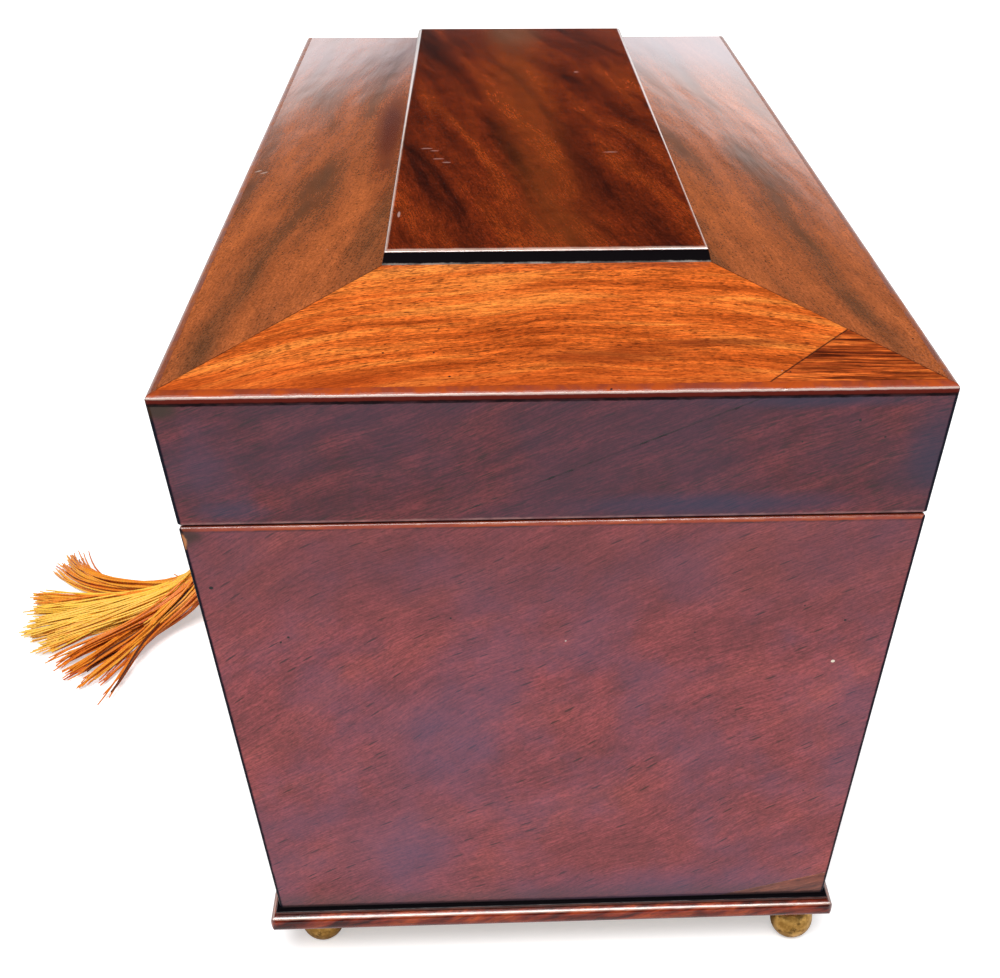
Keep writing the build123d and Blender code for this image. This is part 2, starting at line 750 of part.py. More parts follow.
class MainHinge(ButtHinge):
    """A hinge between the back board and the lid's back wall, with both leaves in the seam."""

    def __init__(self, x):
        centre = (x, half_depth(BODY_Z) + HINGE_OFFSET, (BODY_Z + LID_Z) / 2)
        leaf = HINGE_LEAF + HINGE_OFFSET
        super().__init__(centre, HINGE_LENGTH, KNUCKLE_RADIUS, PIN_RADIUS, leaf, KNUCKLES)
        self.body_level = (-LID_GAP / 2 - HINGE_PLATE, -LID_GAP / 2)
        self.lid_level = (LID_GAP / 2, LID_GAP / 2 + HINGE_PLATE)

    def screw_places(self):
        pitch = self.length / HINGE_SCREWS
        back = -(KNUCKLE_RADIUS + KNUCKLE_CLEARANCE + self.leaf) / 2
        return [((index - (HINGE_SCREWS - 1) / 2) * pitch, back) for index in range(HINGE_SCREWS)]

    def screws(self, up):
        """The screws of one leaf: down into the body, or up into the lid."""
        turn = Rot(180, 0, 0) if up else Rot(0, 0, 0)
        level = self.lid_level[0] if up else self.body_level[1]
        one = turn * screw(SCREW_HEAD, SCREW_SHANK, SCREW_CONE, SCREW_LENGTH)
        return [self.place(Pos(x, y, level) * one) for x, y in self.screw_places()]

    def body_leaf(self):
        leaf = self.place(self.leaf_solid(-1, self.body_level, 0))
        for one in self.screws(False):
            leaf -= one
        return leaf

    def lid_leaf(self):
        leaf = self.place(self.leaf_solid(-1, self.lid_level, 1))
        for one in self.screws(True):
            leaf -= one
        return leaf

    def body_recess(self):
        return self.recess(-1, self.body_level)

    def lid_recess(self):
        return self.recess(-1, self.lid_level)


class SmallHinge(ButtHinge):
    """A hinge let into the top faces of a rail and an inner lid, with its knuckles standing proud."""

    def __init__(self, x):
        centre = (x, rail_front() - INNER_LID_GAP / 2, INNER_Z + SMALL_OFFSET)
        super().__init__(
            centre, SMALL_HINGE_LENGTH, SMALL_KNUCKLE_RADIUS, SMALL_PIN_RADIUS, SMALL_LEAF, SMALL_KNUCKLES
        )
        self.level = (-SMALL_OFFSET - SMALL_PLATE, -SMALL_OFFSET)

    def rail_leaf(self):
        return self.place(self.leaf_solid(1, self.level, 0))

    def lid_leaf(self):
        return self.place(self.leaf_solid(-1, self.level, 1))

    def rail_recess(self):
        return self.recess(1, self.level)

    def lid_recess(self):
        return self.recess(-1, self.level)


def main_hinges():
    return [MainHinge(hand * HINGE_PLACE) for hand in (-1, 1)]


def small_hinges(hand):
    x, _ = inner_lid_limits(hand)
    middle = (x[0] + x[1]) / 2
    return [SmallHinge(middle + side * SMALL_HINGE_PLACE) for side in (-1, 1)]


# The front face's own plane: X across, Y up the slope, Z outwards, with its origin at the board's top edge
LOCK_PLANE = Plane(
    origin=(0, -half_depth(BODY_Z), BODY_Z), x_dir=(1, 0, 0), z_dir=(0, -cos(LEAN), -sin(LEAN))
)
BOARD_THROUGH = BODY_WALL * cos(LEAN)
PLATE_BACK = -BOARD_THROUGH
PLATE_FRONT = PLATE_BACK + BACKPLATE
CASE_FRONT = PLATE_FRONT + CASE_DEPTH
BIT_INNER = PLATE_FRONT + BIT_SETBACK
BIT_OUTER = BIT_INNER + BIT_LENGTH
KEY_TIP = PLATE_FRONT + KEY_END_GAP
BOLT_BACK = (PLATE_FRONT + CASE_FRONT - CASE_WALL - BOLT_THICKNESS) / 2


def in_lock(solid):
    """Place a solid that is drawn in the front face's own plane."""
    return LOCK_PLANE.location * solid


def above_selvedge():
    """All that lies above the underside of the horizontal selvedge."""
    return block((-RIM_LENGTH, RIM_LENGTH), (-RIM_DEPTH, RIM_DEPTH), (BODY_Z - SELVEDGE, RIM_Z))


def selvedge():
    """The top plate of the lock, flush with the board's top edge, with the slot for the eye."""
    inner = -(half_depth(BODY_Z) - BODY_WALL)
    half = BACKPLATE_LENGTH / 2
    plate = block((-half, half), (inner - SELVEDGE_WIDTH, inner), (BODY_Z - SELVEDGE, BODY_Z))
    return plate - in_lock(eye_block(EYE_CLEARANCE, 2 * SELVEDGE))


def eye_middle():
    return BOLT_BACK + BOLT_THICKNESS / 2


def eye_block(gap, rise):
    """The stem of the link plate's eye, grown by a gap all round, up to a level above the seam."""
    half = EYE_THICKNESS / 2 + gap
    middle = eye_middle()
    wide = EYE_WIDTH / 2 + gap
    across = (EYE_PLACE - half, EYE_PLACE + half)
    return block(across, (-EYE_DEPTH - gap, rise), (middle - wide, middle + wide))


def lock_screws():
    """Four small screws through the backplate into the front board."""
    one = Rot(180, 0, 0) * screw(SMALL_SCREW_HEAD, SMALL_SCREW_SHANK, SMALL_SCREW_CONE, SMALL_SCREW_LENGTH)
    middle = -(SELVEDGE + BACKPLATE_HEIGHT) / 2
    places = [(x * LOCK_SCREW_PLACE, middle + y * LOCK_SCREW_RISE) for x in (-1, 1) for y in (-1, 1)]
    return [in_lock(Pos(x, y, PLATE_BACK) * one) for x, y in places]


def lock_backplate():
    """The plate seen inside the case, with the selvedge bent over its top and the drill pin for the key."""
    half = BACKPLATE_LENGTH / 2
    plate = in_lock(block((-half, half), (-BACKPLATE_HEIGHT, CUT_MARGIN), (PLATE_BACK, PLATE_FRONT)))
    plate = (plate - above_selvedge()) + selvedge()
    reach = DRILL_PIN_LENGTH + BACKPLATE / 2
    pin = Pos(0, -KEY_DROP, PLATE_FRONT - BACKPLATE / 2 + reach / 2) * Cylinder(DRILL_PIN_RADIUS, reach)
    plate += in_lock(pin)
    for one in lock_screws():
        plate -= one
    return plate


def keyhole(gap, low, high):
    """A keyhole: a round for the shaft and a slot for the bit, between two depths."""
    shaft = Pos(0, -KEY_DROP, (low + high) / 2) * Cylinder(KEY_SHAFT + gap, high - low)
    half = BIT_THICKNESS / 2 + gap
    return shaft + block((-half, half), (-KEY_DROP - BIT_RADIUS - gap, -KEY_DROP), (low, high))


def case_block(inset, low, high):
    half = CASE_LENGTH / 2 - inset
    return block((-half, half), (-CASE_BOTTOM + inset, CUT_MARGIN), (low, high))


def lock_case():
    """The lock's cap: a tray let into the wood, with the stud that guides the bolt."""
    cavity = case_block(CASE_WALL, PLATE_FRONT - CASE_WALL, CASE_FRONT - CASE_WALL)
    case = case_block(0, PLATE_FRONT, CASE_FRONT) - cavity
    low = PLATE_FRONT + STUD_GAP
    stud = Cylinder(STUD_RADIUS, CASE_FRONT - low)
    case += Pos(-STUD_PLACE, -STUD_DROP, (low + CASE_FRONT) / 2) * stud
    case -= keyhole(KEYHOLE_GAP, CASE_FRONT - 2 * CASE_WALL, CASE_FRONT)
    return in_lock(case) - above_selvedge()


def lock_mortise():
    """What the front board gives up to the lock."""
    half = BACKPLATE_LENGTH / 2
    plate = block((-half, half), (-BACKPLATE_HEIGHT, CUT_MARGIN), (PLATE_BACK - BACKPLATE, PLATE_FRONT))
    inner = -(half_depth(BODY_Z) - BODY_WALL)
    top = block((-half, half), (inner - SELVEDGE_WIDTH, 0), (BODY_Z - SELVEDGE, RIM_Z))
    return in_lock(plate) + in_lock(case_block(0, PLATE_BACK, CASE_FRONT)) + top


def escutcheon():
    """The brass rim of the keyhole, let in flush with the front face."""
    rim = keyhole(KEYHOLE_GAP + ESCUTCHEON_RIM, -ESCUTCHEON_DEPTH, 0)
    return in_lock(rim - keyhole(KEYHOLE_GAP, -2 * ESCUTCHEON_DEPTH, 1))


def lock_bolt():
    """The sliding bolt: a bar with its guide slot and the talon for the bit, and its horn."""
    back = BOLT_BACK
    front = back + BOLT_THICKNESS
    bar = block((-BOLT_TAIL, BAR_END), (-BOLT_TOP - BAR_HEIGHT, -BOLT_TOP), (back, front))
    middle = (back + front) / 2
    horn_depth = (middle - HORN_THICKNESS / 2, middle + HORN_THICKNESS / 2)
    bar += block((0, HORN_TIP), (-HORN_DROP - HORN_HEIGHT, -HORN_DROP), horn_depth)
    low, high = talon_span()
    reach = KEY_DROP - BIT_RADIUS - BIT_SWING_GAP
    through = (back - CASE_WALL, front + CASE_WALL)
    bar -= block((low, high), (-CASE_BOTTOM, -reach), through)
    half = STUD_RADIUS + STUD_GAP
    bar -= block((-STUD_PLACE - BOLT_THROW, -STUD_PLACE), (-STUD_DROP - half, -STUD_DROP + half), through)
    for place in (-STUD_PLACE - BOLT_THROW, -STUD_PLACE):
        bar -= Pos(place, -STUD_DROP, middle) * Cylinder(half, 2 * BOLT_THICKNESS)
    return in_lock(bar)


def talon_span():
    """Ends of the talon, wide enough for the bit to pass while the bolt moves evenly with the key."""
    bar_low = BOLT_TOP + BAR_HEIGHT
    half_angle = degrees(atan(sqrt(BIT_RADIUS**2 - (KEY_DROP - bar_low) ** 2) / (KEY_DROP - bar_low)))
    sweep = BIT_RADIUS * sin(radians(half_angle)) + BIT_THICKNESS / 2 + BIT_SWING_GAP
    early = BOLT_THROW * (180 - half_angle) / 360
    late = BOLT_THROW * (180 + half_angle) / 360
    return -sweep - early, sweep - late


def link_plate_block():
    """The flat of the link plate, let into the lower edge of the lid's front wall."""
    inner = -(half_depth(LID_Z) - LID_WALL)
    half = LINK_LENGTH / 2
    return block((-half, half), (inner - LID_WALL + LINK_MARGIN, inner), (LID_Z, LID_Z + LINK_PLATE))


def link_plate():
    """The plate in the lid's front wall, slotted for its eye."""
    plate = link_plate_block() - in_lock(eye_block(0, CUT_MARGIN))
    for one in link_screws():
        plate -= one
    return plate


def link_eye():
    """The eye that is riveted through the link plate and drops into the lock, for the bolt's horn."""
    above = block((-RIM_LENGTH, RIM_LENGTH), (-RIM_DEPTH, RIM_DEPTH), (LID_Z + LINK_PLATE, RIM_Z))
    middle = eye_middle()
    top = -HORN_DROP + EYE_HOLE_GAP
    low = -HORN_DROP - HORN_HEIGHT - EYE_HOLE_GAP
    half = HORN_THICKNESS / 2 + EYE_HOLE_GAP
    hole = block((0, CASE_LENGTH), (low, top), (middle - half, middle + half))
    return in_lock(eye_block(0, CUT_MARGIN) - hole) - above


def link_screws():
    y = -(half_depth(LID_Z) - (LID_WALL + LINK_MARGIN) / 2)
    one = Rot(180, 0, 0) * screw(SMALL_SCREW_HEAD, SMALL_SCREW_SHANK, SMALL_SCREW_CONE, SMALL_SCREW_LENGTH)
    return [Pos(x * LINK_SCREW_PLACE, y, LID_Z) * one for x in (-1, 1)]


def key():
    """The key: a piped shaft with its bit, a collar, a neck and a flat oval bow."""
    bow_low = KEY_REACH - BOW_WIDTH
    shaft_end = bow_low + BOW_RIM / 2
    shaft = Pos(0, 0, (KEY_TIP + shaft_end) / 2) * Cylinder(KEY_SHAFT, shaft_end - KEY_TIP)
    for place in (COLLAR_OUT + COLLAR_WIDTH / 2, bow_low):
        shaft += Pos(0, 0, place) * Cylinder(COLLAR_RADIUS, COLLAR_WIDTH)
    middle = bow_low + BOW_WIDTH / 2
    flat = Plane(origin=(-BOW_THICKNESS / 2, 0, middle), x_dir=(0, 1, 0), z_dir=(1, 0, 0))
    ring = Ellipse(BOW_HEIGHT / 2, BOW_WIDTH / 2)
    ring -= Ellipse(BOW_HEIGHT / 2 - BOW_RIM, BOW_WIDTH / 2 - BOW_RIM)
    bow = extrude(flat * ring, BOW_THICKNESS)
    bit = block((-BIT_THICKNESS / 2, BIT_THICKNESS / 2), (-BIT_RADIUS, 0), (BIT_INNER, BIT_OUTER))
    ward = (BIT_INNER + BIT_OUTER) / 2
    ward_depth = (-BIT_RADIUS - WARD_CUT, -BIT_RADIUS + 2 * WARD_CUT)
    bit -= block((-BIT_THICKNESS, BIT_THICKNESS), ward_depth, (ward - WARD_CUT / 2, ward + WARD_CUT / 2))
    whole = shaft + bow + bit
    bore = DRILL_PIN_LENGTH + KEY_END_GAP
    whole -= Pos(0, 0, KEY_TIP) * Cylinder(DRILL_PIN_RADIUS + KEY_FIT, 2 * bore)
    return in_lock(Pos(0, -KEY_DROP, 0) * whole)


def tassel_loop():
    """The loop of cord round the neck of the key."""
    return in_lock(Pos(0, -KEY_DROP, NECK_OUT) * Torus(LOOP_RADIUS, LOOP_CORD))


def cord_radii():
    """The bend at each inner point of the cord, as large as its two runs allow."""
    points = [Vector(*point) for point in CORD_POINTS]
    radii = []
    for before, at, after in zip(points, points[1:], points[2:]):
        turn = radians((at - before).get_angle(after - at))
        shorter = min((at - before).length, (after - at).length)
        radii.append(CORD_SHARE * shorter / tan(turn / 2))
    return radii


def tassel_cord():
    """The short cord from the loop down to the tassel's head."""
    radii = cord_radii()
    path = FilletPolyline(*CORD_POINTS, radius=radii)
    start = Plane(origin=path @ 0, z_dir=path % 0)
    tube = sweep(start * Circle(CORD_DIAMETER / 2), path=path)
    section = pi * (CORD_DIAMETER / 2) ** 2
    print("cord radii", [round(radius, 1) for radius in radii])
    print("cord length", round(path.length, 1))
    print("cord volume against section times length", round(tube.volume / (section * path.length), 4))
    return tube


def tassel_place():
    x, y, _ = CORD_POINTS[-1]
    return Pos(x, y, 0)


def tassel_head():
    """The wrapped head of the tassel: a ball over a bound neck."""
    low = SKIRT_NECK_HEIGHT
    high = low + HEAD_HEIGHT
    swell = low + HEAD_BAND + (HEAD_HEIGHT - HEAD_BAND) * HEAD_SWELL
    curve = Curve() + [
        Line((0, low), (HEAD_NECK, low)),
        Line((HEAD_NECK, low), (HEAD_NECK, low + HEAD_BAND)),
        Spline((HEAD_NECK, low + HEAD_BAND), (HEAD_RADIUS, swell), (CORD_DIAMETER, high)),
        Line((CORD_DIAMETER, high), (0, high)),
        Line((0, high), (0, low)),
    ]
    return tassel_place() * revolve(Plane.XZ * make_face(curve), Axis.Z)


def skirt_reach(angle):
    """How far a clump of strands reaches over the table, for its angle from the skirt's middle."""
    share = angle / (SKIRT_SPREAD / 2)
    return SKIRT_REACH + SKIRT_LEFT_GAIN * max(0, -share) + SKIRT_WAVE * sin(SKIRT_WAVES * share)


def skirt_profile(reach):
    """A clump's section: a bound neck that falls and runs out flat over the table."""
    low = SKIRT_CLEARANCE
    neck = SKIRT_NECK_HEIGHT
    shoulder = (HEAD_NECK + SKIRT_SHOULDER_OUT, neck * SKIRT_SHOULDER_RISE)
    knee = (reach * SKIRT_KNEE_OUT, neck * SKIRT_KNEE_RISE)
    middle = (reach * SKIRT_MIDDLE_OUT, neck * SKIRT_MIDDLE_RISE)
    top = Spline((HEAD_NECK, neck), shoulder, knee, middle, (reach, low + SKIRT_TIP))
    return make_face(
        Curve()
        + [
            top,
            Line((reach, low + SKIRT_TIP), (reach, low)),
            Line((reach, low), (0, low)),
            Line((0, low), (0, neck)),
            Line((0, neck), (HEAD_NECK, neck)),
        ]
    )


def tassel_skirt():
    """The silk skirt: clumps of strands that fan out over the table from the bound neck."""
    step = SKIRT_SPREAD / SKIRT_CLUMPS
    skirt = Pos(0, 0, (SKIRT_CLEARANCE + SKIRT_NECK_HEIGHT) / 2) * Cone(
        SKIRT_FOOT, HEAD_NECK, SKIRT_NECK_HEIGHT - SKIRT_CLEARANCE
    )
    for index in range(SKIRT_CLUMPS):
        angle = (index + 1 / 2) * step - SKIRT_SPREAD / 2
        clump = revolve(Plane.XZ * skirt_profile(skirt_reach(angle)), Axis.Z, step)
        skirt += Rot(0, 0, SKIRT_TURN - 90 + angle - step / 2) * clump
    for index in range(1, SKIRT_CLUMPS):
        angle = index * step - SKIRT_SPREAD / 2
        start = SKIRT_REACH * (SKIRT_SPLIT_START + SKIRT_SPLIT_STEP * (index % SKIRT_SPLIT_KINDS))
        notch = [(start, 0), (2 * SKIRT_REACH, -SKIRT_SPLIT), (2 * SKIRT_REACH, SKIRT_SPLIT)]
        skirt -= Rot(0, 0, SKIRT_TURN - 90 + angle) * extrude(outline(notch), SKIRT_NECK_HEIGHT)
    return tassel_place() * skirt


def front_board():
    """The front board, with the lock's mortise and the keyhole with its escutcheon seat."""
    board = body_board("front") - lock_mortise()
    board -= in_lock(keyhole(KEYHOLE_GAP, -BODY_WALL, 1))
    board -= in_lock(keyhole(KEYHOLE_GAP + ESCUTCHEON_RIM, -ESCUTCHEON_DEPTH, 1))
    for one in lock_screws():
        board -= one
    return board


def back_board():
    board = body_board("back")
    for hinge in main_hinges():
        board -= hinge.body_recess()
        for one in hinge.screws(False):
            board -= one
    return board


def lid_front_wall():
    """The lid's front wall, with the seat of the link plate."""
    wall = lid_wall("front") - link_plate_block()
    for one in link_screws():
        wall -= one
    return wall


def lid_back_wall():
    wall = lid_wall("back")
    for hinge in main_hinges():
        wall -= hinge.lid_recess()
        for one in hinge.screws(True):
            wall -= one
    return wall


def write(name, shape):
    """Write one node: a solid, or a group of separate solids."""
    if isinstance(shape, list):
        shape = Compound(children=list(shape))
    export_step(shape, f"parts/{name}.step")


def build_case():
    write("base_board", base_board())
    write("ball_feet", [Pos(*place) * foot() for place in foot_places()])
    write("front_board", front_board())
    write("back_board", back_board())
    write("left_end_board", body_board("left"))
    right = body_board("right")
    cutter = end_patch_cutter()
    write("right_end_board", right - cutter)
    write("end_veneer_patch", right & cutter)
    for side in SIDES:
        write(f"plinth_moulding_{side}", plinth_moulding(side))
    write("bowl_surround", bowl_surround())
    write("bowl_pad", bowl_pad())
    write("inner_lid_ledges", lid_ledges())
    for name, hand in (("left", -1), ("right", 1)):
        write(f"partition_{name}", partition(hand))
        write(f"tea_lining_{name}", tea_lining(hand))
        write(f"hinge_rail_{name}", hinge_rail(hand))


def build_lock():
    write("lock_case", lock_case())
    write("lock_backplate", lock_backplate())
    write("lock_screws", lock_screws())
    write("lock_bolt", lock_bolt())
    write("escutcheon", escutcheon())
    write("link_plate", link_plate())
    write("link_eye", link_eye())
    write("link_plate_screws", link_screws())
    write("key", key())


def build_hinges():
    hinges = main_hinges()
    write("hinge_body_leaves", [hinge.body_leaf() for hinge in hinges])
    write("hinge_lid_leaves", [hinge.lid_leaf() for hinge in hinges])
    write("hinge_pins", [hinge.pin() for hinge in hinges])
    write("hinge_body_screws", [one for hinge in hinges for one in hinge.screws(False)])
    write("hinge_lid_screws", [one for hinge in hinges for one in hinge.screws(True)])
    small = small_hinges(-1) + small_hinges(1)
    write("inner_hinge_rail_leaves", [hinge.rail_leaf() for hinge in small])
    write("inner_hinge_pins", [hinge.pin() for hinge in small])
    for name, hand in (("left", -1), ("right", 1)):
        write(f"inner_hinge_lid_leaves_{name}", [hinge.lid_leaf() for hinge in small_hinges(hand)])


def build_lid():
    write("lid_front_wall", lid_front_wall())
    write("lid_back_wall", lid_back_wall())
    write("lid_left_wall", lid_wall("left"))
    write("lid_right_wall", lid_wall("right"))
    write("lid_top_board", lid_top_board())
    write("lid_tablet", lid_tablet())
    write("lid_lining", lid_lining())
    cutter = slope_patch_cutter()
    for side in ("front", "back", "left"):
        write(f"lid_slope_{side}", lid_slope(side))
    right = lid_slope("right")
    write("lid_slope_right", right - cutter)
    write("slope_veneer_patch", right & cutter)


def build_contents():
    for name, hand in (("left", -1), ("right", 1)):
        write(f"inner_lid_{name}", inner_lid(hand))
        write(f"inner_lid_knob_{name}", inner_lid_knob(hand))
    write("mixing_bowl", mixing_bowl())


def build_tassel():
    write("tassel_loop", tassel_loop())
    write("tassel_cord", tassel_cord())
    write("tassel_head", tassel_head())
    write("tassel_skirt", tassel_skirt())


build_case()
build_lock()
build_hinges()
build_lid()
build_contents()
build_tassel()
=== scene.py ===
"""The looks of an antique mahogany tea caddy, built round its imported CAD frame.

Lengths are in metres, except that the finishes work in millimetres, because grain and wear are that small.
"""

from __future__ import annotations

import json
import logging
import math
from dataclasses import dataclass, field
from enum import Enum

import bmesh
import bpy
from mathutils import Matrix, Vector

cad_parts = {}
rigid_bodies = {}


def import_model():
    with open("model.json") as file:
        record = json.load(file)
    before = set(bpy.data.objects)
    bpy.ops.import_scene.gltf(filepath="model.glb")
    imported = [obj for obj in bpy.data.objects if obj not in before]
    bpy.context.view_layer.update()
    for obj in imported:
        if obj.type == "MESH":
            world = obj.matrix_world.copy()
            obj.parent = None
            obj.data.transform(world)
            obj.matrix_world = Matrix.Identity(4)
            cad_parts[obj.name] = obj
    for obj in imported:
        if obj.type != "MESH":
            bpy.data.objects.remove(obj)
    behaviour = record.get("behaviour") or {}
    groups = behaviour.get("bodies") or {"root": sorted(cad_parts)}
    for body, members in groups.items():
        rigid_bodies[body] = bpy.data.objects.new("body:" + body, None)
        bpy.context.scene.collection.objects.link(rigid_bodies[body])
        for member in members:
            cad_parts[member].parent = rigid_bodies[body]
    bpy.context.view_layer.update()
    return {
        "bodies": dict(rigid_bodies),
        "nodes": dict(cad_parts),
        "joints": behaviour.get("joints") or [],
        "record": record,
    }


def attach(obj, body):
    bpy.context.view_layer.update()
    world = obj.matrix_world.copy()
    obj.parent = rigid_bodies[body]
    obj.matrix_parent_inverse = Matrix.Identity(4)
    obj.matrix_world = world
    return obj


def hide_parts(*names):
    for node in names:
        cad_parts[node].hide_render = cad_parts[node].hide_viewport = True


LOG = logging.getLogger("tea_caddy")
MM = 0.001
TURN = 2 * math.pi
Triple = tuple[float, float, float]
Value = bpy.types.NodeSocket | float | Triple | tuple[float, float, float, float]


def put_in_scene(name: str, data: bpy.types.ID) -> bpy.types.Object:
    """Put new data into the scene.

    Args:
        name: The new object's name.
        data: Its mesh, camera or lamp.

    Returns:
        The object.
    """
    thing = bpy.data.objects.new(name, data)
    bpy.context.collection.objects.link(thing)
    return thing


def round_point(radius: float, angle: float, height: float) -> Vector:
    """The point of an upright cylinder about the origin at an angle and a height."""
    return Vector((math.cos(angle) * radius, math.sin(angle) * radius, height))


# Node trees


class Book:
    """A node tree with one short call for each kind of step that the finishes and threads share."""

    def __init__(self, tree: bpy.types.NodeTree) -> None:
        """Start from an empty tree.

        Args:
            tree: The node tree to fill.
        """
        self.tree = tree
        self.tree.nodes.clear()

    def add(self, kind: str, inputs: dict | None = None, **settings: object) -> bpy.types.Node:
        """Add a node.

        Args:
            kind: The node's type name.
            inputs: Values or sockets by input name or number.
            **settings: The node's own properties.

        Returns:
            The new node.
        """
        node = self.tree.nodes.new(kind)
        for key, value in settings.items():
            setattr(node, key, value)
        for key, value in (inputs or {}).items():
            self.feed(self.socket(node, key), value)
        return node

    @staticmethod
    def socket(node: bpy.types.Node, key: str | int) -> bpy.types.NodeSocket:
        """Find the enabled input of a name, or the input of a number.

        Args:
            node: The node to look in.
            key: The input's name or number.

        Returns:
            The input socket.
        """
        if isinstance(key, int):
            return node.inputs[key]
        return next(one for one in node.inputs if one.name == key and one.enabled)

    @staticmethod
    def result(node: bpy.types.Node) -> bpy.types.NodeSocket:
        """Find the enabled output of a node that has one for each type of data."""
        return next(one for one in node.outputs if one.enabled)

    def feed(self, socket: bpy.types.NodeSocket, value: Value) -> None:
        """Link a socket into an input, or set the input's own value.

        Args:
            socket: The input.
            value: What it gets.
        """
        if isinstance(value, bpy.types.NodeSocket):
            self.tree.links.new(value, socket)
        elif isinstance(value, tuple) and socket.type == "RGBA" and len(value) == 3:
            socket.default_value = (*value, 1.0)
        else:
            socket.default_value = value

    def maths(self, operation: str, *values: Value, clamp: bool = False) -> bpy.types.NodeSocket:
        """Work out one number from others.

        Args:
            operation: The operation of the Math node.
            *values: Its operands.
            clamp: Whether the result is held between 0 and 1.

        Returns:
            The result.
        """
        node = self.add("ShaderNodeMath", dict(enumerate(values)), operation=operation, use_clamp=clamp)
        return node.outputs[0]

    def vector(self, operation: str, *values: Value, scale: Value | None = None) -> bpy.types.NodeSocket:
        """Work out one vector, or a number, from vectors.

        Args:
            operation: The operation of the Vector Math node.
            *values: Its operands.
            scale: The factor, for SCALE only.

        Returns:
            The result: a number for LENGTH, DISTANCE and DOT_PRODUCT.
        """
        inputs = dict(enumerate(values))
        if scale is not None:
            inputs["Scale"] = scale
        node = self.add("ShaderNodeVectorMath", inputs, operation=operation)
        number = operation in ("LENGTH", "DISTANCE", "DOT_PRODUCT")
        return node.outputs["Value" if number else "Vector"]

    def join(self, x: Value, y: Value, z: Value) -> bpy.types.NodeSocket:
        """Make a vector of three numbers."""
        return self.add("ShaderNodeCombineXYZ", {0: x, 1: y, 2: z}).outputs[0]

    def split(self, vector: Value) -> tuple[bpy.types.NodeSocket, ...]:
        """Take a vector apart into its three numbers."""
        return tuple(self.add("ShaderNodeSeparateXYZ", {0: vector}).outputs)

    def step(self, value: Value, low: float, high: float) -> bpy.types.NodeSocket:
        """Rise smoothly from 0 at one value to 1 at another.

        Args:
            value: The number that is tested.
            low: Where the rise starts.
            high: Where it ends.

        Returns:
            A number from 0 to 1.
        """
        inputs = {"Value": value, "From Min": low, "From Max": high}
        return self.add("ShaderNodeMapRange", inputs, interpolation_type="SMOOTHSTEP").outputs[0]


class Surface(Book):
    """A material's node tree, with the textures that its finishes share."""

    def __init__(self, name: str) -> None:
        """Make the material.

        Args:
            name: The material's name.
        """
        self.material = bpy.data.materials.new(name)
        self.material.use_nodes = True
        super().__init__(self.material.node_tree)

    def where(self) -> bpy.types.NodeSocket:
        """The point of the surface in the object's frame, in millimetres."""
        place = self.add("ShaderNodeTexCoord").outputs["Object"]
        return self.vector("SCALE", place, scale=1 / MM)

    def noise(self, at: Value, size: float | Triple, detail: float = 2.0, rough: float = 0.5,
              distortion: float = 0.0) -> bpy.types.NodeSocket:
        """Soft random variation, about 0.5.

        Args:
            at: Where it is read.
            size: The size of its blots, or one size for each axis.
            detail: How many finer layers it has.
            rough: How strong the finer layers are.
            distortion: How much it is swirled.

        Returns:
            A number near 0.5.
        """
        if isinstance(size, tuple):
            at = self.vector("DIVIDE", at, size)
            size = 1.0
        inputs = {"Vector": at, "Scale": 1 / size, "Detail": detail, "Roughness": rough, "Distortion": distortion}
        return self.add("ShaderNodeTexNoise", inputs).outputs[0]

    def cells(self, at: Value, size: Triple) -> tuple[bpy.types.NodeSocket, bpy.types.NodeSocket]:
        """Scattered points.

        Args:
            at: Where they are read.
            size: Their spacing along each axis.

        Returns:
            The distance to the nearest point in spacings, and a random number of its own.
        """
        node = self.add("ShaderNodeTexVoronoi", {"Vector": self.vector("DIVIDE", at, size), "Scale": 1.0})
        random = self.split(node.outputs["Color"])[0]
        return node.outputs["Distance"], random

    def ramp(self, value: Value, stops: list[tuple[float, Triple]]) -> bpy.types.NodeSocket:
        """Turn a number into a colour.

        Args:
            value: The number.
            stops: Places from 0 to 1 with their colours.

        Returns:
            The colour.
        """
        node = self.add("ShaderNodeValToRGB", {"Fac": value})
        marks = node.color_ramp.elements
        while len(marks) < len(stops):
            marks.new(0.5)
        for mark, (place, colour) in zip(marks, stops):
            mark.position = place
            mark.color = (*colour, 1.0)
        return node.outputs[0]

    def mix(self, share: Value, first: Value, second: Value, blend: str = "MIX") -> bpy.types.NodeSocket:
        """Lay one colour over another.

        Args:
            share: How much of the second shows.
            first: The colour below.
            second: The colour above.
            blend: How they are mixed.

        Returns:
            The mixed colour.
        """
        inputs = {"Factor": share, "A": first, "B": second}
        return self.result(self.add("ShaderNodeMix", inputs, data_type="RGBA", blend_type=blend))

    def blend(self, share: Value, first: Value, second: Value) -> bpy.types.NodeSocket:
        """Go from one number to another by a share from 0 to 1."""
        inputs = {"Value": share, "To Min": first, "To Max": second}
        return self.add("ShaderNodeMapRange", inputs).outputs[0]

    def finish(self, height: Value | None = None, **sockets: Value) -> bpy.types.Material:
        """End the tree in a Principled shader.

        Args:
            height: The height of the surface's relief in millimetres.
            **sockets: Its inputs, with underscores for spaces.

        Returns:
            The material.
        """
        shader = self.add("ShaderNodeBsdfPrincipled")
        for key, value in sockets.items():
            self.feed(shader.inputs[key.replace("_", " ")], value)
        if height is not None:
            relief = self.add("ShaderNodeBump", {"Height": height, "Distance": MM})
            self.feed(shader.inputs["Normal"], relief.outputs[0])
        self.add("ShaderNodeOutputMaterial", {"Surface": shader.outputs[0]})
        return self.material


# Finishes


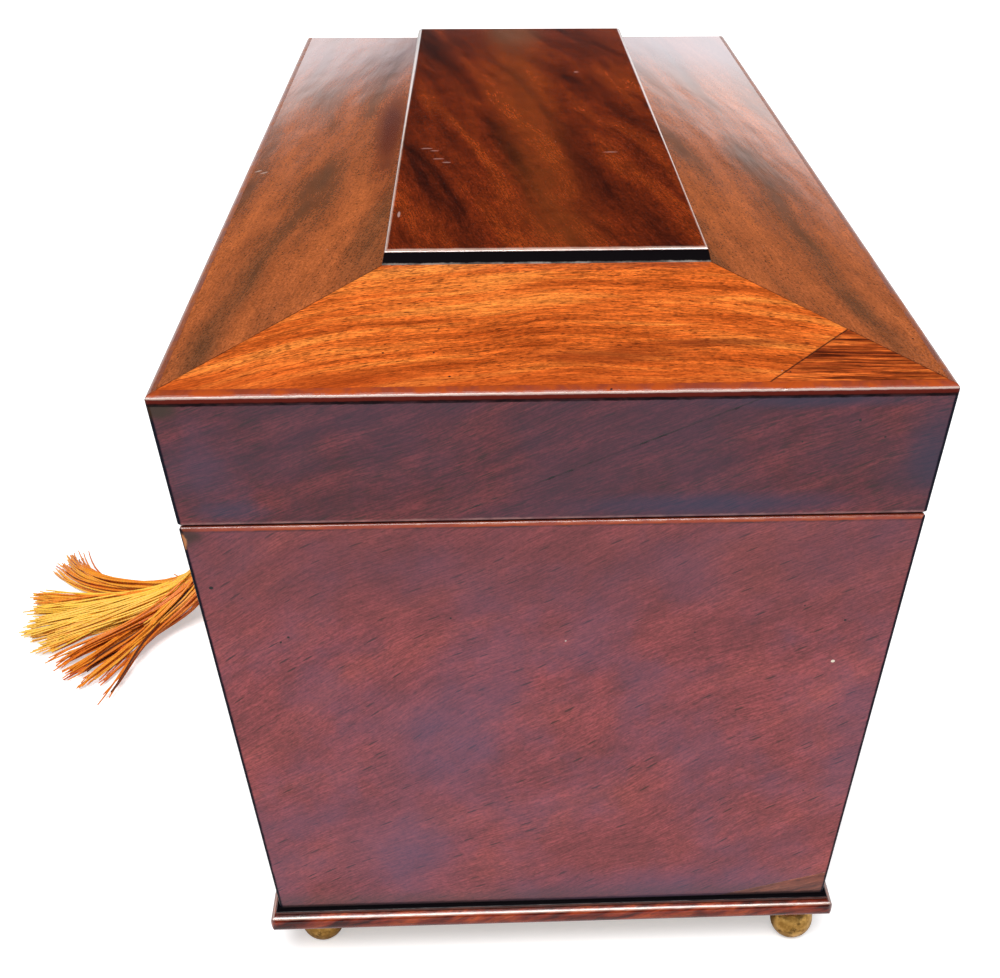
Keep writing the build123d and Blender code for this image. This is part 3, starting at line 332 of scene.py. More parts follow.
@dataclass
class Look:
    """A surface while its marks are being laid on: where it is, its colour, roughness, relief and shine."""

    where: bpy.types.NodeSocket
    colour: Value
    rough: Value
    height: Value
    shine: Value = 0.5

    def cover(self, surface: Surface, share: Value, mark: Mark) -> None:
        """Lay a mark's colour, roughness and depth over the surface.

        Args:
            surface: The surface's node tree.
            share: How much of the mark shows.
            mark: The mark.
        """
        self.colour = surface.mix(share, self.colour, mark.colour)
        if mark.rough is not None:
            self.rough = surface.blend(share, self.rough, mark.rough)
        if mark.depth:
            self.height = surface.maths("MULTIPLY_ADD", share, -mark.depth, self.height)


@dataclass(frozen=True)
class Layer:
    """A change of colour between two parallel planes, such as a rubbed arris, a dirty edge, a joint, or a painted
    highlight, reflection or shade.

    The planes stand across the normal, low and high millimetres along it from the origin.
    """

    RAGGED_SIZE = 2.5
    PATCH_SIZE = 6.0
    PATCH_START, PATCH_SLACK, PATCH_END = 0.5, 0.25, 0.62

    normal: Triple
    low: float
    high: float
    colour: Triple
    amount: float = 1.0
    soft: float = 0.2
    ragged: float = 0.0
    patchy: float = 0.0
    rough: float | None = None
    shine: float | None = None
    depth: float = 0.0

    def apply(self, surface: Surface, look: Look) -> None:
        """Lay the change on a surface.

        Args:
            surface: The surface's node tree.
            look: What it looks like so far, which is changed.
        """
        reach = surface.vector("DOT_PRODUCT", look.where, self.normal)
        if self.ragged:
            edge = surface.noise(look.where, self.RAGGED_SIZE, detail=4.0, rough=0.7)
            reach = surface.maths("MULTIPLY_ADD", edge, self.ragged, reach)
            reach = surface.maths("SUBTRACT", reach, self.ragged / 2)
        rise = surface.step(reach, self.low - self.soft, self.low + self.soft)
        fall = surface.step(reach, self.high + self.soft, self.high - self.soft)
        share = surface.maths("MULTIPLY", rise, fall)
        if self.patchy:
            gaps = surface.noise(look.where, self.PATCH_SIZE, detail=3.0, rough=0.65)
            gaps = surface.step(gaps, self.PATCH_START - self.PATCH_SLACK * (1 - self.patchy), self.PATCH_END)
            share = surface.maths("MULTIPLY", share, surface.blend(gaps, 1 - self.patchy, 1.0))
        if self.shine is not None:
            look.shine = surface.blend(share, look.shine, self.shine)
        look.cover(surface, surface.maths("MULTIPLY", share, self.amount), self)


@dataclass(frozen=True)
class Spot:
    """A soft-edged blot, such as a chip, a speck, a cloud in the polish or a patch of painted reflection, round a
    point in millimetres.
    """

    RAGGED_SHARE = 0.6

    centre: Triple
    size: Triple
    colour: Triple
    amount: float = 1.0
    soft: float = 0.5
    ragged: float = 0.3
    rough: float | None = None
    depth: float = 0.0

    def apply(self, surface: Surface, look: Look) -> None:
        """Lay the blot on a surface.

        Args:
            surface: The surface's node tree.
            look: What it looks like so far, which is changed.
        """
        away = surface.vector("SUBTRACT", look.where, self.centre)
        reach = surface.vector("LENGTH", surface.vector("DIVIDE", away, self.size))
        edge = surface.noise(look.where, max(self.size) * self.RAGGED_SHARE, detail=4.0, rough=0.6)
        reach = surface.maths("MULTIPLY_ADD", edge, 2 * self.ragged, reach)
        reach = surface.maths("SUBTRACT", reach, self.ragged)
        share = surface.maths("MULTIPLY", surface.step(reach, 1.0, 1.0 - self.soft), self.amount)
        look.cover(surface, share, self)


Mark = Layer | Spot


@dataclass(frozen=True)
class Finish:
    """What a piece wears: the name of its material, and a name for the kind of finish it is."""

    name: str
    slot: str

    def build(self) -> bpy.types.Material:
        """Make the material.

        Returns:
            The material.
        """
        raise NotImplementedError


@dataclass(frozen=True)
class Grain:
    """How the grain of a board lies: its direction, what runs across it on the face, and its bends."""

    along: Triple
    across: Triple
    middle: Triple = (0.0, 0.0, 0.0)
    bow: float = 0.0
    warp: float = 2.0
    warp_size: float = 40.0

    def lines(self, surface: Surface, where: bpy.types.NodeSocket) -> bpy.types.NodeSocket:
        """Find where a point lies among the grain lines.

        Args:
            surface: The surface's node tree.
            where: The point in millimetres.

        Returns:
            A vector: along the grain, across it and into the board, in millimetres.
        """
        away = surface.vector("SUBTRACT", where, self.middle)
        through = tuple(Vector(self.along).cross(Vector(self.across)))
        along = surface.vector("DOT_PRODUCT", away, self.along)
        across = surface.vector("DOT_PRODUCT", away, self.across)
        depth = surface.vector("DOT_PRODUCT", away, through)
        if self.bow:
            arch = surface.maths("MULTIPLY", surface.maths("MULTIPLY", along, along), self.bow)
            across = surface.maths("ADD", across, arch)
        drift = surface.noise(surface.join(along, across, depth), self.warp_size, detail=1.5, rough=0.4)
        across = surface.maths("MULTIPLY_ADD", drift, 2 * self.warp, across)
        return surface.join(along, across, depth)


@dataclass(frozen=True)
class Veneer(Finish):
    """Polished mahogany: broad figure, streaks, fine fibres, dark pores, clouds in the polish and its marks.

    Sizes are in millimetres along the grain, across it and into the board. A reach is where a noise starts and ends
    its rise. The crowd is where pores stand close together, and the dashes are a few long and coarse ones.
    """

    FIBRE_SIZE = (4.5, 0.3, 3.0)
    GRIT_SIZE = (0.8, 0.5, 0.6)
    TONE_REACH = (0.3, 0.7)
    CROWD_SIZE = (26.0, 7.0, 20.0)
    CROWD_REACH = (0.3, 0.6)
    PORE_EDGE = (0.42, 0.2)
    DASH_SHIFT = (37.0, 11.0, 5.0)
    DASH_SIZE = (4.5, 0.6)
    DASH_SHARE = 0.07
    CLOUD_REACH = (0.38, 0.68)
    SWELL_SIZE = (34.0, 8.0, 20.0)
    RIPPLE_SIZE = (8.0, 1.2, 3.0)
    RIPPLE_DEPTH = 0.008
    DARK_DOTS = ((0.0, 0.0, 0.0), 4.2, 0.08, (0.015, 0.008, 0.01))
    PALE_DOTS = ((3.1, 7.7, 1.3), 8.5, 0.035, (0.5, 0.4, 0.36))

    grain: Grain
    deep: Triple
    middle: Triple
    pale: Triple
    figure: tuple[float, float] = (60.0, 8.0)
    figure_reach: tuple[float, float, float] = (0.36, 0.5, 0.64)
    ribbon: float = 0.15
    ribbon_size: tuple[float, float] = (16.0, 1.3)
    mottle: float = 0.0
    mottle_size: tuple[float, float] = (9.0, 5.0)
    fibre: float = 0.35
    pore: Triple = (0.03, 0.01, 0.006)
    pore_size: tuple[float, float] = (3.0, 0.34)
    pore_share: float = 0.5
    pore_amount: float = 0.7
    pore_depth: float = 0.008
    fleck: float = 0.4
    fleck_size: tuple[float, float] = (1.9, 0.34)
    fleck_reach: tuple[float, float] = (0.57, 0.67)
    grit: float = 0.12
    dash: float = 0.0
    cloud: Triple = (0.1, 0.08, 0.16)
    cloud_amount: float = 0.0
    cloud_size: float = 45.0
    rough: float = 0.24
    swell: float = 0.1
    specks: float = 0.1
    marks: tuple[Mark, ...] = ()

    def build(self) -> bpy.types.Material:
        """Make the material."""
        surface = Surface(self.name)
        where = surface.where()
        lines = self.grain.lines(surface, where)
        figure = surface.noise(lines, (*self.figure, 30.0), detail=3.5, rough=0.5, distortion=0.25)
        low, mid, high = self.figure_reach
        colour = surface.ramp(figure, [(low, self.deep), (mid, self.middle), (high, self.pale)])
        tone = self.tones(surface, lines)
        colour = surface.mix(1.0, colour, surface.join(tone, tone, tone), "MULTIPLY")
        look = Look(where, colour, self.rough, 0.0)
        crowd = surface.step(surface.noise(lines, self.CROWD_SIZE, detail=2.0), *self.CROWD_REACH)
        flecks = surface.noise(lines, (*self.fleck_size, 1.5), detail=2.0, rough=0.55)
        flecks = surface.maths("MULTIPLY", surface.step(flecks, *self.fleck_reach), self.fleck)
        look.colour = surface.mix(flecks, look.colour, self.pore)
        self.lay_pores(surface, lines, look, self.pore_size, self.pore_share, self.pore_amount, crowd)
        if self.dash:
            shifted = surface.vector("ADD", lines, self.DASH_SHIFT)
            self.lay_pores(surface, shifted, look, self.DASH_SIZE, self.DASH_SHARE, self.dash, 1.0)
        self.lay_clouds(surface, look)
        for mark in self.marks:
            mark.apply(surface, look)
        self.lay_specks(surface, look)
        swell = surface.noise(lines, self.SWELL_SIZE, detail=1.0)
        look.height = surface.maths("MULTIPLY_ADD", swell, self.swell, look.height)
        ripple = surface.noise(lines, self.RIPPLE_SIZE, detail=2.0)
        look.height = surface.maths("MULTIPLY_ADD", ripple, self.RIPPLE_DEPTH, look.height)
        return surface.finish(look.height, Base_Color=look.colour, Roughness=look.rough,
                              Specular_IOR_Level=look.shine)

    def tones(self, surface: Surface, lines: bpy.types.NodeSocket) -> Value:
        """Work out how light or dark the mottling, the streaks and the fibres make each point.

        Args:
            surface: The surface's node tree.
            lines: The place among the grain lines.

        Returns:
            A factor for the colour.
        """
        tone: Value = 1.0
        kinds = (
            (self.FIBRE_SIZE, self.fibre),
            (self.GRIT_SIZE, self.grit),
            ((*self.ribbon_size, 6.0), self.ribbon),
            ((*self.mottle_size, 5.0), self.mottle),
        )
        for size, amount in kinds:
            if amount:
                part = surface.step(surface.noise(lines, size, detail=2.0, rough=0.6), *self.TONE_REACH)
                tone = surface.maths("MULTIPLY", surface.blend(part, 1 - amount, 1 + amount * 0.6), tone)
        return tone

    def lay_pores(self, surface: Surface, lines: bpy.types.NodeSocket, look: Look, size: tuple[float, float],
                  share: float, amount: float, crowd: Value) -> None:
        """Sink dark pores along the grain lines.

        Args:
            surface: The surface's node tree.
            lines: The place among the grain lines.
            look: What it looks like so far, which is changed.
            size: The length and width of the room that each has.
            share: How many of the rooms hold one.
            amount: How dark they are.
            crowd: Where they are, from 0 to 1.
        """
        length, width = size
        distance, random = surface.cells(lines, (length, width, width * 8))
        there = surface.maths("LESS_THAN", random, share)
        pores = surface.maths("MULTIPLY", surface.step(distance, *self.PORE_EDGE), there)
        pores = surface.maths("MULTIPLY", pores, crowd)
        look.colour = surface.mix(surface.maths("MULTIPLY", pores, amount), look.colour, self.pore)
        look.height = surface.maths("MULTIPLY_ADD", pores, -self.pore_depth, look.height)

    def lay_clouds(self, surface: Surface, look: Look) -> None:
        """Lay the clouds that time leaves in old polish.

        Args:
            surface: The surface's node tree.
            look: What it looks like so far, which is changed.
        """
        if not self.cloud_amount:
            return
        cloud = surface.noise(look.where, self.cloud_size, detail=4.0, rough=0.6)
        share = surface.maths("MULTIPLY", surface.step(cloud, *self.CLOUD_REACH), self.cloud_amount)
        look.colour = surface.mix(share, look.colour, self.cloud)

    def lay_specks(self, surface: Surface, look: Look) -> None:
        """Scatter a few dark dots and pale specks.

        Args:
            surface: The surface's node tree.
            look: What it looks like so far, which is changed.
        """
        ragged = surface.noise(look.where, 0.5, detail=2.0)
        for shift, room, size, colour in (self.DARK_DOTS, self.PALE_DOTS):
            distance, random = surface.cells(surface.vector("ADD", look.where, shift), (room, room, room))
            distance = surface.maths("MULTIPLY_ADD", ragged, size, distance)
            dots = surface.maths("MULTIPLY", surface.step(distance, size * 1.5, size),
                                 surface.maths("LESS_THAN", random, self.specks))
            look.colour = surface.mix(dots, look.colour, colour)


@dataclass(frozen=True)
class Metal(Finish):
    """A worn metal: cast or rolled, with dull and rubbed patches and a tarnish in its hollows."""

    WEAR_REACH = (0.38, 0.62)
    GRIME_REACH = (0.52, 0.72)
    DULLER = 0.2
    GRIME_ROUGH = 0.75
    RELIEF = 0.02

    bright: Triple
    dull: Triple
    tarnish: Triple
    rough: float = 0.3
    grime: float = 0.4
    patch: float = 3.0
    metallic: float = 1.0

    def build(self) -> bpy.types.Material:
        """Make the material."""
        surface = Surface(self.name)
        where = surface.where()
        wear = surface.step(surface.noise(where, self.patch, detail=4.0, rough=0.6), *self.WEAR_REACH)
        colour = surface.mix(wear, self.dull, self.bright)
        grime = surface.noise(where, self.patch * 0.6, detail=5.0, rough=0.7)
        grime = surface.step(grime, *self.GRIME_REACH)
        grime = surface.maths("MULTIPLY", grime, self.grime)
        colour = surface.mix(grime, colour, self.tarnish)
        rough = surface.blend(wear, self.rough + self.DULLER, self.rough)
        rough = surface.blend(grime, rough, self.GRIME_ROUGH)
        height = surface.maths("MULTIPLY", surface.noise(where, self.patch * 0.3, detail=3.0), self.RELIEF)
        return surface.finish(height, Base_Color=colour, Roughness=rough, Metallic=self.metallic)


@dataclass(frozen=True)
class Cloth(Finish):
    """A short-napped cloth or a mottled lining paper."""

    pale: Triple
    deep: Triple
    nap: float = 0.3
    rough: float = 0.95
    sheen: float = 0.4

    def build(self) -> bpy.types.Material:
        """Make the material."""
        surface = Surface(self.name)
        where = surface.where()
        worn = surface.noise(where, 18.0, detail=4.0, rough=0.65)
        fine = surface.noise(where, self.nap, detail=2.0, rough=0.7)
        share = surface.maths("MULTIPLY_ADD", fine, 0.5, surface.maths("MULTIPLY", worn, 0.6))
        colour = surface.ramp(share, [(0.36, self.deep), (0.7, self.pale)])
        height = surface.maths("MULTIPLY", fine, 0.15)
        return surface.finish(height, Base_Color=colour, Roughness=self.rough, Sheen_Weight=self.sheen)


@dataclass(frozen=True)
class Bone(Finish):
    """Turned bone, yellowed, with faint growth lines and a soft polish."""

    pale: Triple = (0.78, 0.66, 0.44)
    deep: Triple = (0.55, 0.38, 0.19)

    def build(self) -> bpy.types.Material:
        """Make the material."""
        surface = Surface(self.name)
        where = surface.where()
        rings = surface.noise(where, (0.5, 6.0, 2.5), detail=3.0, rough=0.6)
        age = surface.noise(where, 5.0, detail=3.0)
        share = surface.maths("MULTIPLY_ADD", rings, 0.4, surface.maths("MULTIPLY", age, 0.6))
        colour = surface.ramp(share, [(0.4, self.deep), (0.58, self.pale)])
        height = surface.maths("MULTIPLY", rings, 0.01)
        return surface.finish(height, Base_Color=colour, Roughness=0.32, Subsurface_Weight=0.15,
                              Subsurface_Radius=(0.002, 0.0012, 0.0006))


@dataclass(frozen=True)
class Glass(Finish):
    """Old blown glass, faintly grey-green, with seeds and soft waves in it."""

    def build(self) -> bpy.types.Material:
        """Make the material."""
        surface = Surface(self.name)
        where = surface.where()
        waves = surface.noise(where, 16.0, detail=2.0)
        seeds, random = surface.cells(where, (6.0, 6.0, 6.0))
        seeds = surface.maths("MULTIPLY", surface.step(seeds, 0.09, 0.03), surface.maths("LESS_THAN", random, 0.3))
        height = surface.maths("MULTIPLY_ADD", waves, 0.3, surface.maths("MULTIPLY", seeds, 0.05))
        colour = surface.ramp(waves, [(0.35, (0.9, 0.96, 0.93)), (0.65, (0.96, 0.98, 0.97))])
        return surface.finish(height, Base_Color=colour, Roughness=0.03, Transmission_Weight=1.0, IOR=1.5)


@dataclass(frozen=True)
class Silk(Finish):
    """Silk thread: its colour runs from rust to gold by the thread's tint, with a ply twist along it."""

    shade: Triple = (0.1, 0.02, 0.004)
    rust: Triple = (0.55, 0.075, 0.008)
    orange: Triple = (0.8, 0.22, 0.008)
    gold: Triple = (0.92, 0.55, 0.055)
    root: Triple = (0.72, 0.17, 0.004)
    ply: float = 1.1

    def build(self) -> bpy.types.Material:
        """Make the material."""
        surface = Surface(self.name)
        where = surface.where()
        tint = surface.add("ShaderNodeAttribute", attribute_name="tint").outputs["Fac"]
        along = surface.add("ShaderNodeAttribute", attribute_name="along").outputs["Fac"]
        uneven = surface.noise(where, 3.0, detail=3.0, rough=0.6)
        tint = surface.maths("MULTIPLY_ADD", uneven, 0.3, surface.maths("SUBTRACT", tint, 0.15))
        colour = surface.ramp(tint, [(0.0, self.shade), (0.12, self.rust), (0.48, self.orange), (0.9, self.gold)])
        shade = surface.step(along, 12.0, 0.0)
        colour = surface.mix(surface.maths("MULTIPLY", shade, 0.75), colour, self.root)
        twist = surface.maths("SINE", surface.maths("MULTIPLY", along, TURN / self.ply))
        tone = surface.blend(surface.maths("MULTIPLY_ADD", twist, 0.5, 0.5), 0.9, 1.04)
        colour = surface.mix(1.0, colour, surface.join(tone, tone, tone), "MULTIPLY")
        height = surface.maths("MULTIPLY", twist, 0.01)
        return surface.finish(height, Base_Color=colour, Roughness=0.42, Sheen_Weight=0.35, Sheen_Roughness=0.3)


# The case's sizes in millimetres, which its marks follow: how far the walls lean in for each millimetre down, and
# the front wall's angle; half the rim's length and depth; how far each mitre of the slopes runs along and across;
# and the heights of the floor, seam, rim and tablet. Then the colours of its wear and of its painted highlights,
# reflections and shade.

TAPER = 0.0956
LEAN = math.atan(0.096)
HALF_LENGTH = 165.0
HALF_DEPTH = 75.0
HIP_ALONG = 46.9
HIP_ACROSS = 41.2
FLOOR = 16.25
BODY_TOP = 119.0
LID_FOOT = 119.4
RIM = 146.8
TABLET_TOP = 158.6
UP: Triple = (0.0, 0.0, 1.0)
RUBBED = (0.42, 0.07, 0.012)
# Pale colour of the painted highlights on the rounded arrises.
PAINTED_HIGHLIGHT = (0.8, 0.58, 0.48)
RIM_RED = (0.09, 0.008, 0.004)
NEAR_RIM = (0.4, 0.065, 0.01)
LONG_RIM = (0.3, 0.08, 0.024)
# Near black: dirt lines, a crack, a dark speck, the ebonised tablet sides, and painted shade in the gaps at the base.
NEAR_BLACK = (0.004, 0.003, 0.004)
NAVY = (0.004, 0.005, 0.012)
JOINT_LINE = (0.03, 0.01, 0.006)
# Blue of the clouds in the walls' polish, and of the painted reflection low on the end panel.
BLUE_CLOUD_AND_REFLECTION = (0.09, 0.06, 0.125)
# Pale sheens over the far parts of the side slopes: painted reflections.
LEFT_PAINTED_REFLECTION = (0.32, 0.2, 0.22)
RIGHT_PAINTED_REFLECTION = (0.42, 0.33, 0.38)
SCRATCH = (0.6, 0.4, 0.36)
MATT = 0.04


def tilted(direction: Triple, across: Triple, degrees: float) -> tuple[Triple, Triple]:
    """Turn a grain direction within its face.

    Args:
        direction: The direction at no turn.
        across: The direction a quarter turn on.
        degrees: How far it turns from one to the other.

    Returns:
        The turned direction and what is then across it.
    """
    turn = math.radians(degrees)
    first, second = Vector(direction), Vector(across)
    along = first * math.cos(turn) + second * math.sin(turn)
    side = second * math.cos(turn) - first * math.sin(turn)
    return tuple(along), tuple(side)


class Face(Enum):
    """The faces of the case: the direction along each one, and the direction up or across it."""

    END = ((0.0, 1.0, 0.0), (0.0, 0.0, 1.0))
    LONG = ((1.0, 0.0, 0.0), (0.0, 0.0, 1.0))
    TOP_END = ((0.0, 1.0, 0.0), (1.0, 0.0, 0.0))
    TOP_LONG = ((1.0, 0.0, 0.0), (0.0, 1.0, 0.0))

    def grain(self, degrees: float = 0.0, **settings: float | Triple) -> Grain:
        """Lay grain on the face.

        Args:
            degrees: How far the grain turns from the face's own direction.
            **settings: The grain's middle and bends.

        Returns:
            The grain.
        """
        along, across = tilted(*self.value, degrees)
        return Grain(along, across, **settings)


def upright_marks(*ends: int) -> tuple[Layer, ...]:
    """A dark bluish line along each upright corner.

    Args:
        *ends: 1 for the right end and -1 for the left one.

    Returns:
        A mark for each of the two corners of each end.
    """
    lean = 2 * TAPER
    reach = math.sqrt(2 + lean * lean)
    edge = (HALF_LENGTH + HALF_DEPTH - lean * RIM) / reach
    return tuple(
        Layer((end / reach, side / reach, -lean / reach), edge - 0.62, edge + 1, NAVY, soft=0.12, ragged=0.2,
              shine=MATT)
        for end in ends for side in (-1, 1)
    )


def hip_marks(*corners: tuple[int, int]) -> tuple[Layer, ...]:
    """The fine dark joints along the mitres of the slopes.

    Args:
        *corners: The signs of x and y at the corner of the rim where each starts.

    Returns:
        A mark for each mitre.
    """
    reach = math.hypot(HIP_ALONG, HIP_ACROSS)
    middle = (HALF_LENGTH * HIP_ACROSS - HALF_DEPTH * HIP_ALONG) / reach
    return tuple(
        Layer((end * HIP_ACROSS / reach, -side * HIP_ALONG / reach, 0.0), middle - 0.14, middle + 0.14, JOINT_LINE,
              amount=0.85, soft=0.12, ragged=0.3, patchy=0.4)
        for end, side in corners
    )


def body_marks(*more: Mark) -> tuple[Mark, ...]:
    """The marks that every wall of the body shows: a rubbed top arris with a painted highlight, and along the base
    a dark line of dirt and painted shade, with a darker band above it.

    Args:
        *more: The wall's own marks.

    Returns:
        All its marks.
    """
    return (
        Layer(UP, BODY_TOP - 1.15, BODY_TOP + 1, RUBBED, amount=0.95, ragged=0.5, soft=0.12, rough=0.14, shine=0.2,
              patchy=0.45),
        # Painted highlight on the rubbed top arris.
        Layer(UP, BODY_TOP - 0.75, BODY_TOP - 0.45, PAINTED_HIGHLIGHT, amount=0.22, soft=0.1, ragged=0.3, patchy=0.7, shine=1.0),
        Layer(UP, BODY_TOP - 1.45, BODY_TOP - 1.1, NEAR_BLACK, amount=0.7, soft=0.15, ragged=0.4, patchy=0.6),
        Layer(UP, BODY_TOP - 0.2, BODY_TOP + 1, (0.06, 0.018, 0.01), soft=0.1, shine=0.2),
        # Dark line along the foot of the wall: dirt, and painted shade where it meets the moulding.
        Layer(UP, FLOOR - 1, FLOOR + 0.7, NEAR_BLACK, amount=0.95, soft=0.4, ragged=0.6, rough=0.5, shine=MATT),
        Layer(UP, FLOOR - 1, FLOOR + 3.5, (0.06, 0.035, 0.035), amount=0.5, soft=2.4),
        *more,
    )


def lid_marks(rim: Triple, glint: float, *more: Mark) -> tuple[Mark, ...]:
    """The marks that every wall of the lid shows: a polished rim with a painted highlight on its edge above a dark
    line, and a pale lower edge, which is a painted highlight too.

    Args:
        rim: The colour of the band round the slopes.
        glint: How strong the painted highlight on its edge is.
        *more: The wall's own marks.

    Returns:
        All its marks.
    """
    return (
        # Painted highlight along the lid's lower edge.
        Layer(UP, LID_FOOT - 1, LID_FOOT + 0.45, (0.4, 0.2, 0.18), amount=0.5, soft=0.15, ragged=0.5, patchy=0.6),
        *more,
        Layer(UP, RIM - 0.35, RIM + 6, rim, amount=0.97, soft=0.12, rough=0.2, shine=0.03, patchy=0.45),
        Layer(UP, RIM - 1.7, RIM - 0.7, RIM_RED, soft=0.15, ragged=0.4, rough=0.16, shine=0.1),
        # Painted highlight on the rim's rounded edge.
        Layer(UP, RIM - 0.68, RIM - 0.35, PAINTED_HIGHLIGHT, amount=glint, soft=0.1, ragged=0.2, patchy=0.15, shine=1.0),
        Layer(UP, RIM - 2.1, RIM - 1.45, NEAR_BLACK, amount=0.95, soft=0.12, ragged=0.4, patchy=0.3, shine=MATT),
    )


def scratch(x: float, y: float, along: float, across: float, amount: float = 0.35, soft: float = 0.4,
            ragged: float = 0.6) -> Spot:
    """A short pale scratch on the tablet.

    Args:
        x: How far its middle is to the right of the tablet's own.
        y: How far its middle is behind the tablet's own.
        along: Half its size along the tablet.
        across: Half its size across the tablet.
        amount: How pale it is.
        soft: How soft its edge is.
        ragged: How uneven its edge is.

    Returns:
        The mark.
    """
    return Spot((x, y, TABLET_TOP), (along, across, 2.0), SCRATCH, amount=amount, soft=soft, ragged=ragged)


@dataclass
class Finishes:
    """The materials made so far, by name."""

    made: dict[str, bpy.types.Material] = field(default_factory=dict)

    def get(self, finish: Finish) -> bpy.types.Material:
        """Make a finish once, and hand it out.

        Args:
            finish: The finish.

        Returns:
            Its material.
        """
        if finish.name not in self.made:
            self.made[finish.name] = finish.build()
        return self.made[finish.name]


WALL = {"deep": (0.215, 0.037, 0.043), "middle": (0.26, 0.046, 0.05), "pale": (0.33, 0.062, 0.056)}
WALL_GRAIN = {"fibre": 0.28, "ribbon": 0.1, "mottle": 0.14, "pore_size": (2.0, 0.3), "pore_share": 0.15,
              "pore_amount": 0.5, "fleck": 0.35, "fleck_size": (1.3, 0.32), "grit": 0.22, "dash": 0.8,
              "cloud": BLUE_CLOUD_AND_REFLECTION, "rough": 0.26, "specks": 0.16}

END_PANEL = Veneer(
    "end_panel_mahogany", "mahogany", Face.END.grain(27, middle=(160.0, 0.0, 60.0), warp=9.0, warp_size=70.0),
    **WALL, **WALL_GRAIN, figure=(40.0, 12.0), figure_reach=(0.3, 0.5, 0.72), cloud_amount=0.35, cloud_size=26.0,
    marks=body_marks(
        # Blue haze over the lower part of the panel: painted reflection.
        Spot((158.0, -24.0, 66.0), (30.0, 24.0, 24.0), BLUE_CLOUD_AND_REFLECTION, amount=0.35, soft=0.9),
        Spot((155.0, -34.0, 34.0), (30.0, 24.0, 24.0), BLUE_CLOUD_AND_REFLECTION, amount=0.35, soft=0.9),
        Spot((155.0, 20.0, 20.0), (30.0, 50.0, 8.0), BLUE_CLOUD_AND_REFLECTION, amount=0.3, soft=0.9),
        # Painted shade: the panel darker towards the top, under the lid.
        Layer(UP, 98.0, 122.0, (0.09, 0.022, 0.03), amount=0.4, soft=12.0),
        *upright_marks(1),
        Spot((162.0, -70.8, 116.8), (4.0, 4.4, 3.4), (0.03, 0.013, 0.008), amount=0.9, soft=0.9, ragged=0.5),
        Spot((162.0, -71.9, 115.6), (4.0, 1.1, 2.3), (0.42, 0.17, 0.07), soft=0.3, ragged=0.5, rough=0.7, depth=0.3),
        Spot((158.9, 57.5, 83.4), (3.0, 0.42, 0.36), (0.7, 0.62, 0.5), soft=0.2, ragged=0.5),
        Spot((161.0, -67.6, 104.8), (3.0, 0.5, 0.4), NEAR_BLACK, soft=0.3),
    ),
)
LEFT_PANEL = Veneer(
    "left_panel_mahogany", "mahogany", Face.END.grain(-24, middle=(-160.0, 10.0, 50.0), warp=8.0, warp_size=60.0),
    **WALL, **WALL_GRAIN, figure=(48.0, 11.0), figure_reach=(0.3, 0.5, 0.72), cloud_amount=0.3, cloud_size=30.0,
    marks=body_marks(*upright_marks(-1)),
)
FRONT_PANEL = Veneer(
    "front_panel_mahogany", "mahogany", Face.LONG.grain(7, middle=(20.0, 0.0, 70.0), warp=12.0, warp_size=90.0),
    **WALL, **WALL_GRAIN, figure=(75.0, 10.0), figure_reach=(0.32, 0.5, 0.68), cloud_amount=0.15,
    marks=body_marks(*upright_marks(1, -1)),
)
BACK_PANEL = Veneer(
    "back_panel_mahogany", "mahogany", Face.LONG.grain(-5, middle=(-30.0, 0.0, 40.0), warp=10.0, warp_size=80.0),
    **WALL, **WALL_GRAIN, figure=(75.0, 10.0), figure_reach=(0.32, 0.5, 0.68), cloud_amount=0.2,
    marks=body_marks(*upright_marks(1, -1)),
)
LID_WALL = {"deep": (0.1, 0.014, 0.021), "middle": (0.128, 0.018, 0.024), "pale": (0.17, 0.026, 0.029)}
LID_GRAIN = {"fibre": 0.36, "ribbon": 0.12, "mottle": 0.15, "pore_size": (4.5, 0.34), "pore_share": 0.35,
             "pore_amount": 0.85, "fleck": 0.5, "fleck_size": (2.2, 0.3), "grit": 0.25, "dash": 0.8,
             "cloud": (0.035, 0.02, 0.045), "rough": 0.26, "specks": 0.14}
SPLIT: Triple = (0.0, -0.386, 0.9225)
SPLIT_AT = Vector(SPLIT).dot(Vector((0.0, -22.4, 119.6)))
LID_END = Veneer(
    "lid_end_mahogany", "mahogany", Face.END.grain(21, middle=(160.0, 20.0, 130.0), warp=3.5, warp_size=45.0),
    **LID_WALL, **LID_GRAIN, figure=(36.0, 4.0), cloud_amount=0.5,
    marks=lid_marks(
        NEAR_RIM, 0.6,
        Spot((163.0, -62.0, 122.2), (20.0, 11.0, 3.6), (0.02, 0.025, 0.06), amount=0.6, soft=0.9, ragged=0.6),
        Spot((163.0, -66.0, 131.0), (20.0, 12.0, 14.0), (0.05, 0.035, 0.075), amount=0.5, soft=0.9, ragged=0.6),
        Spot((163.0, -22.0, 142.6), (2.0, 1.6, 0.35), (0.02, 0.01, 0.01), amount=0.8, soft=0.5, ragged=0.3),
        Spot((163.0, 30.0, 122.0), (20.0, 38.0, 4.0), (0.022, 0.025, 0.065), amount=0.65, soft=0.9),
        Spot((163.0, 72.0, 134.0), (20.0, 9.0, 16.0), (0.02, 0.02, 0.05), amount=0.7, soft=0.9),
        Spot((163.0, 50.0, 144.2), (20.0, 30.0, 2.4), (0.02, 0.02, 0.05), amount=0.7, soft=0.9),
        *upright_marks(1),
        Spot((163.0, -73.2, 144.2), (20.0, 5.0, 3.6), (0.035, 0.016, 0.008), amount=0.95, soft=0.7, ragged=0.6),
        Layer(SPLIT, SPLIT_AT - 0.22, SPLIT_AT + 0.12, NEAR_BLACK, soft=0.12, ragged=0.5, patchy=0.75, depth=0.1),
    ),
)
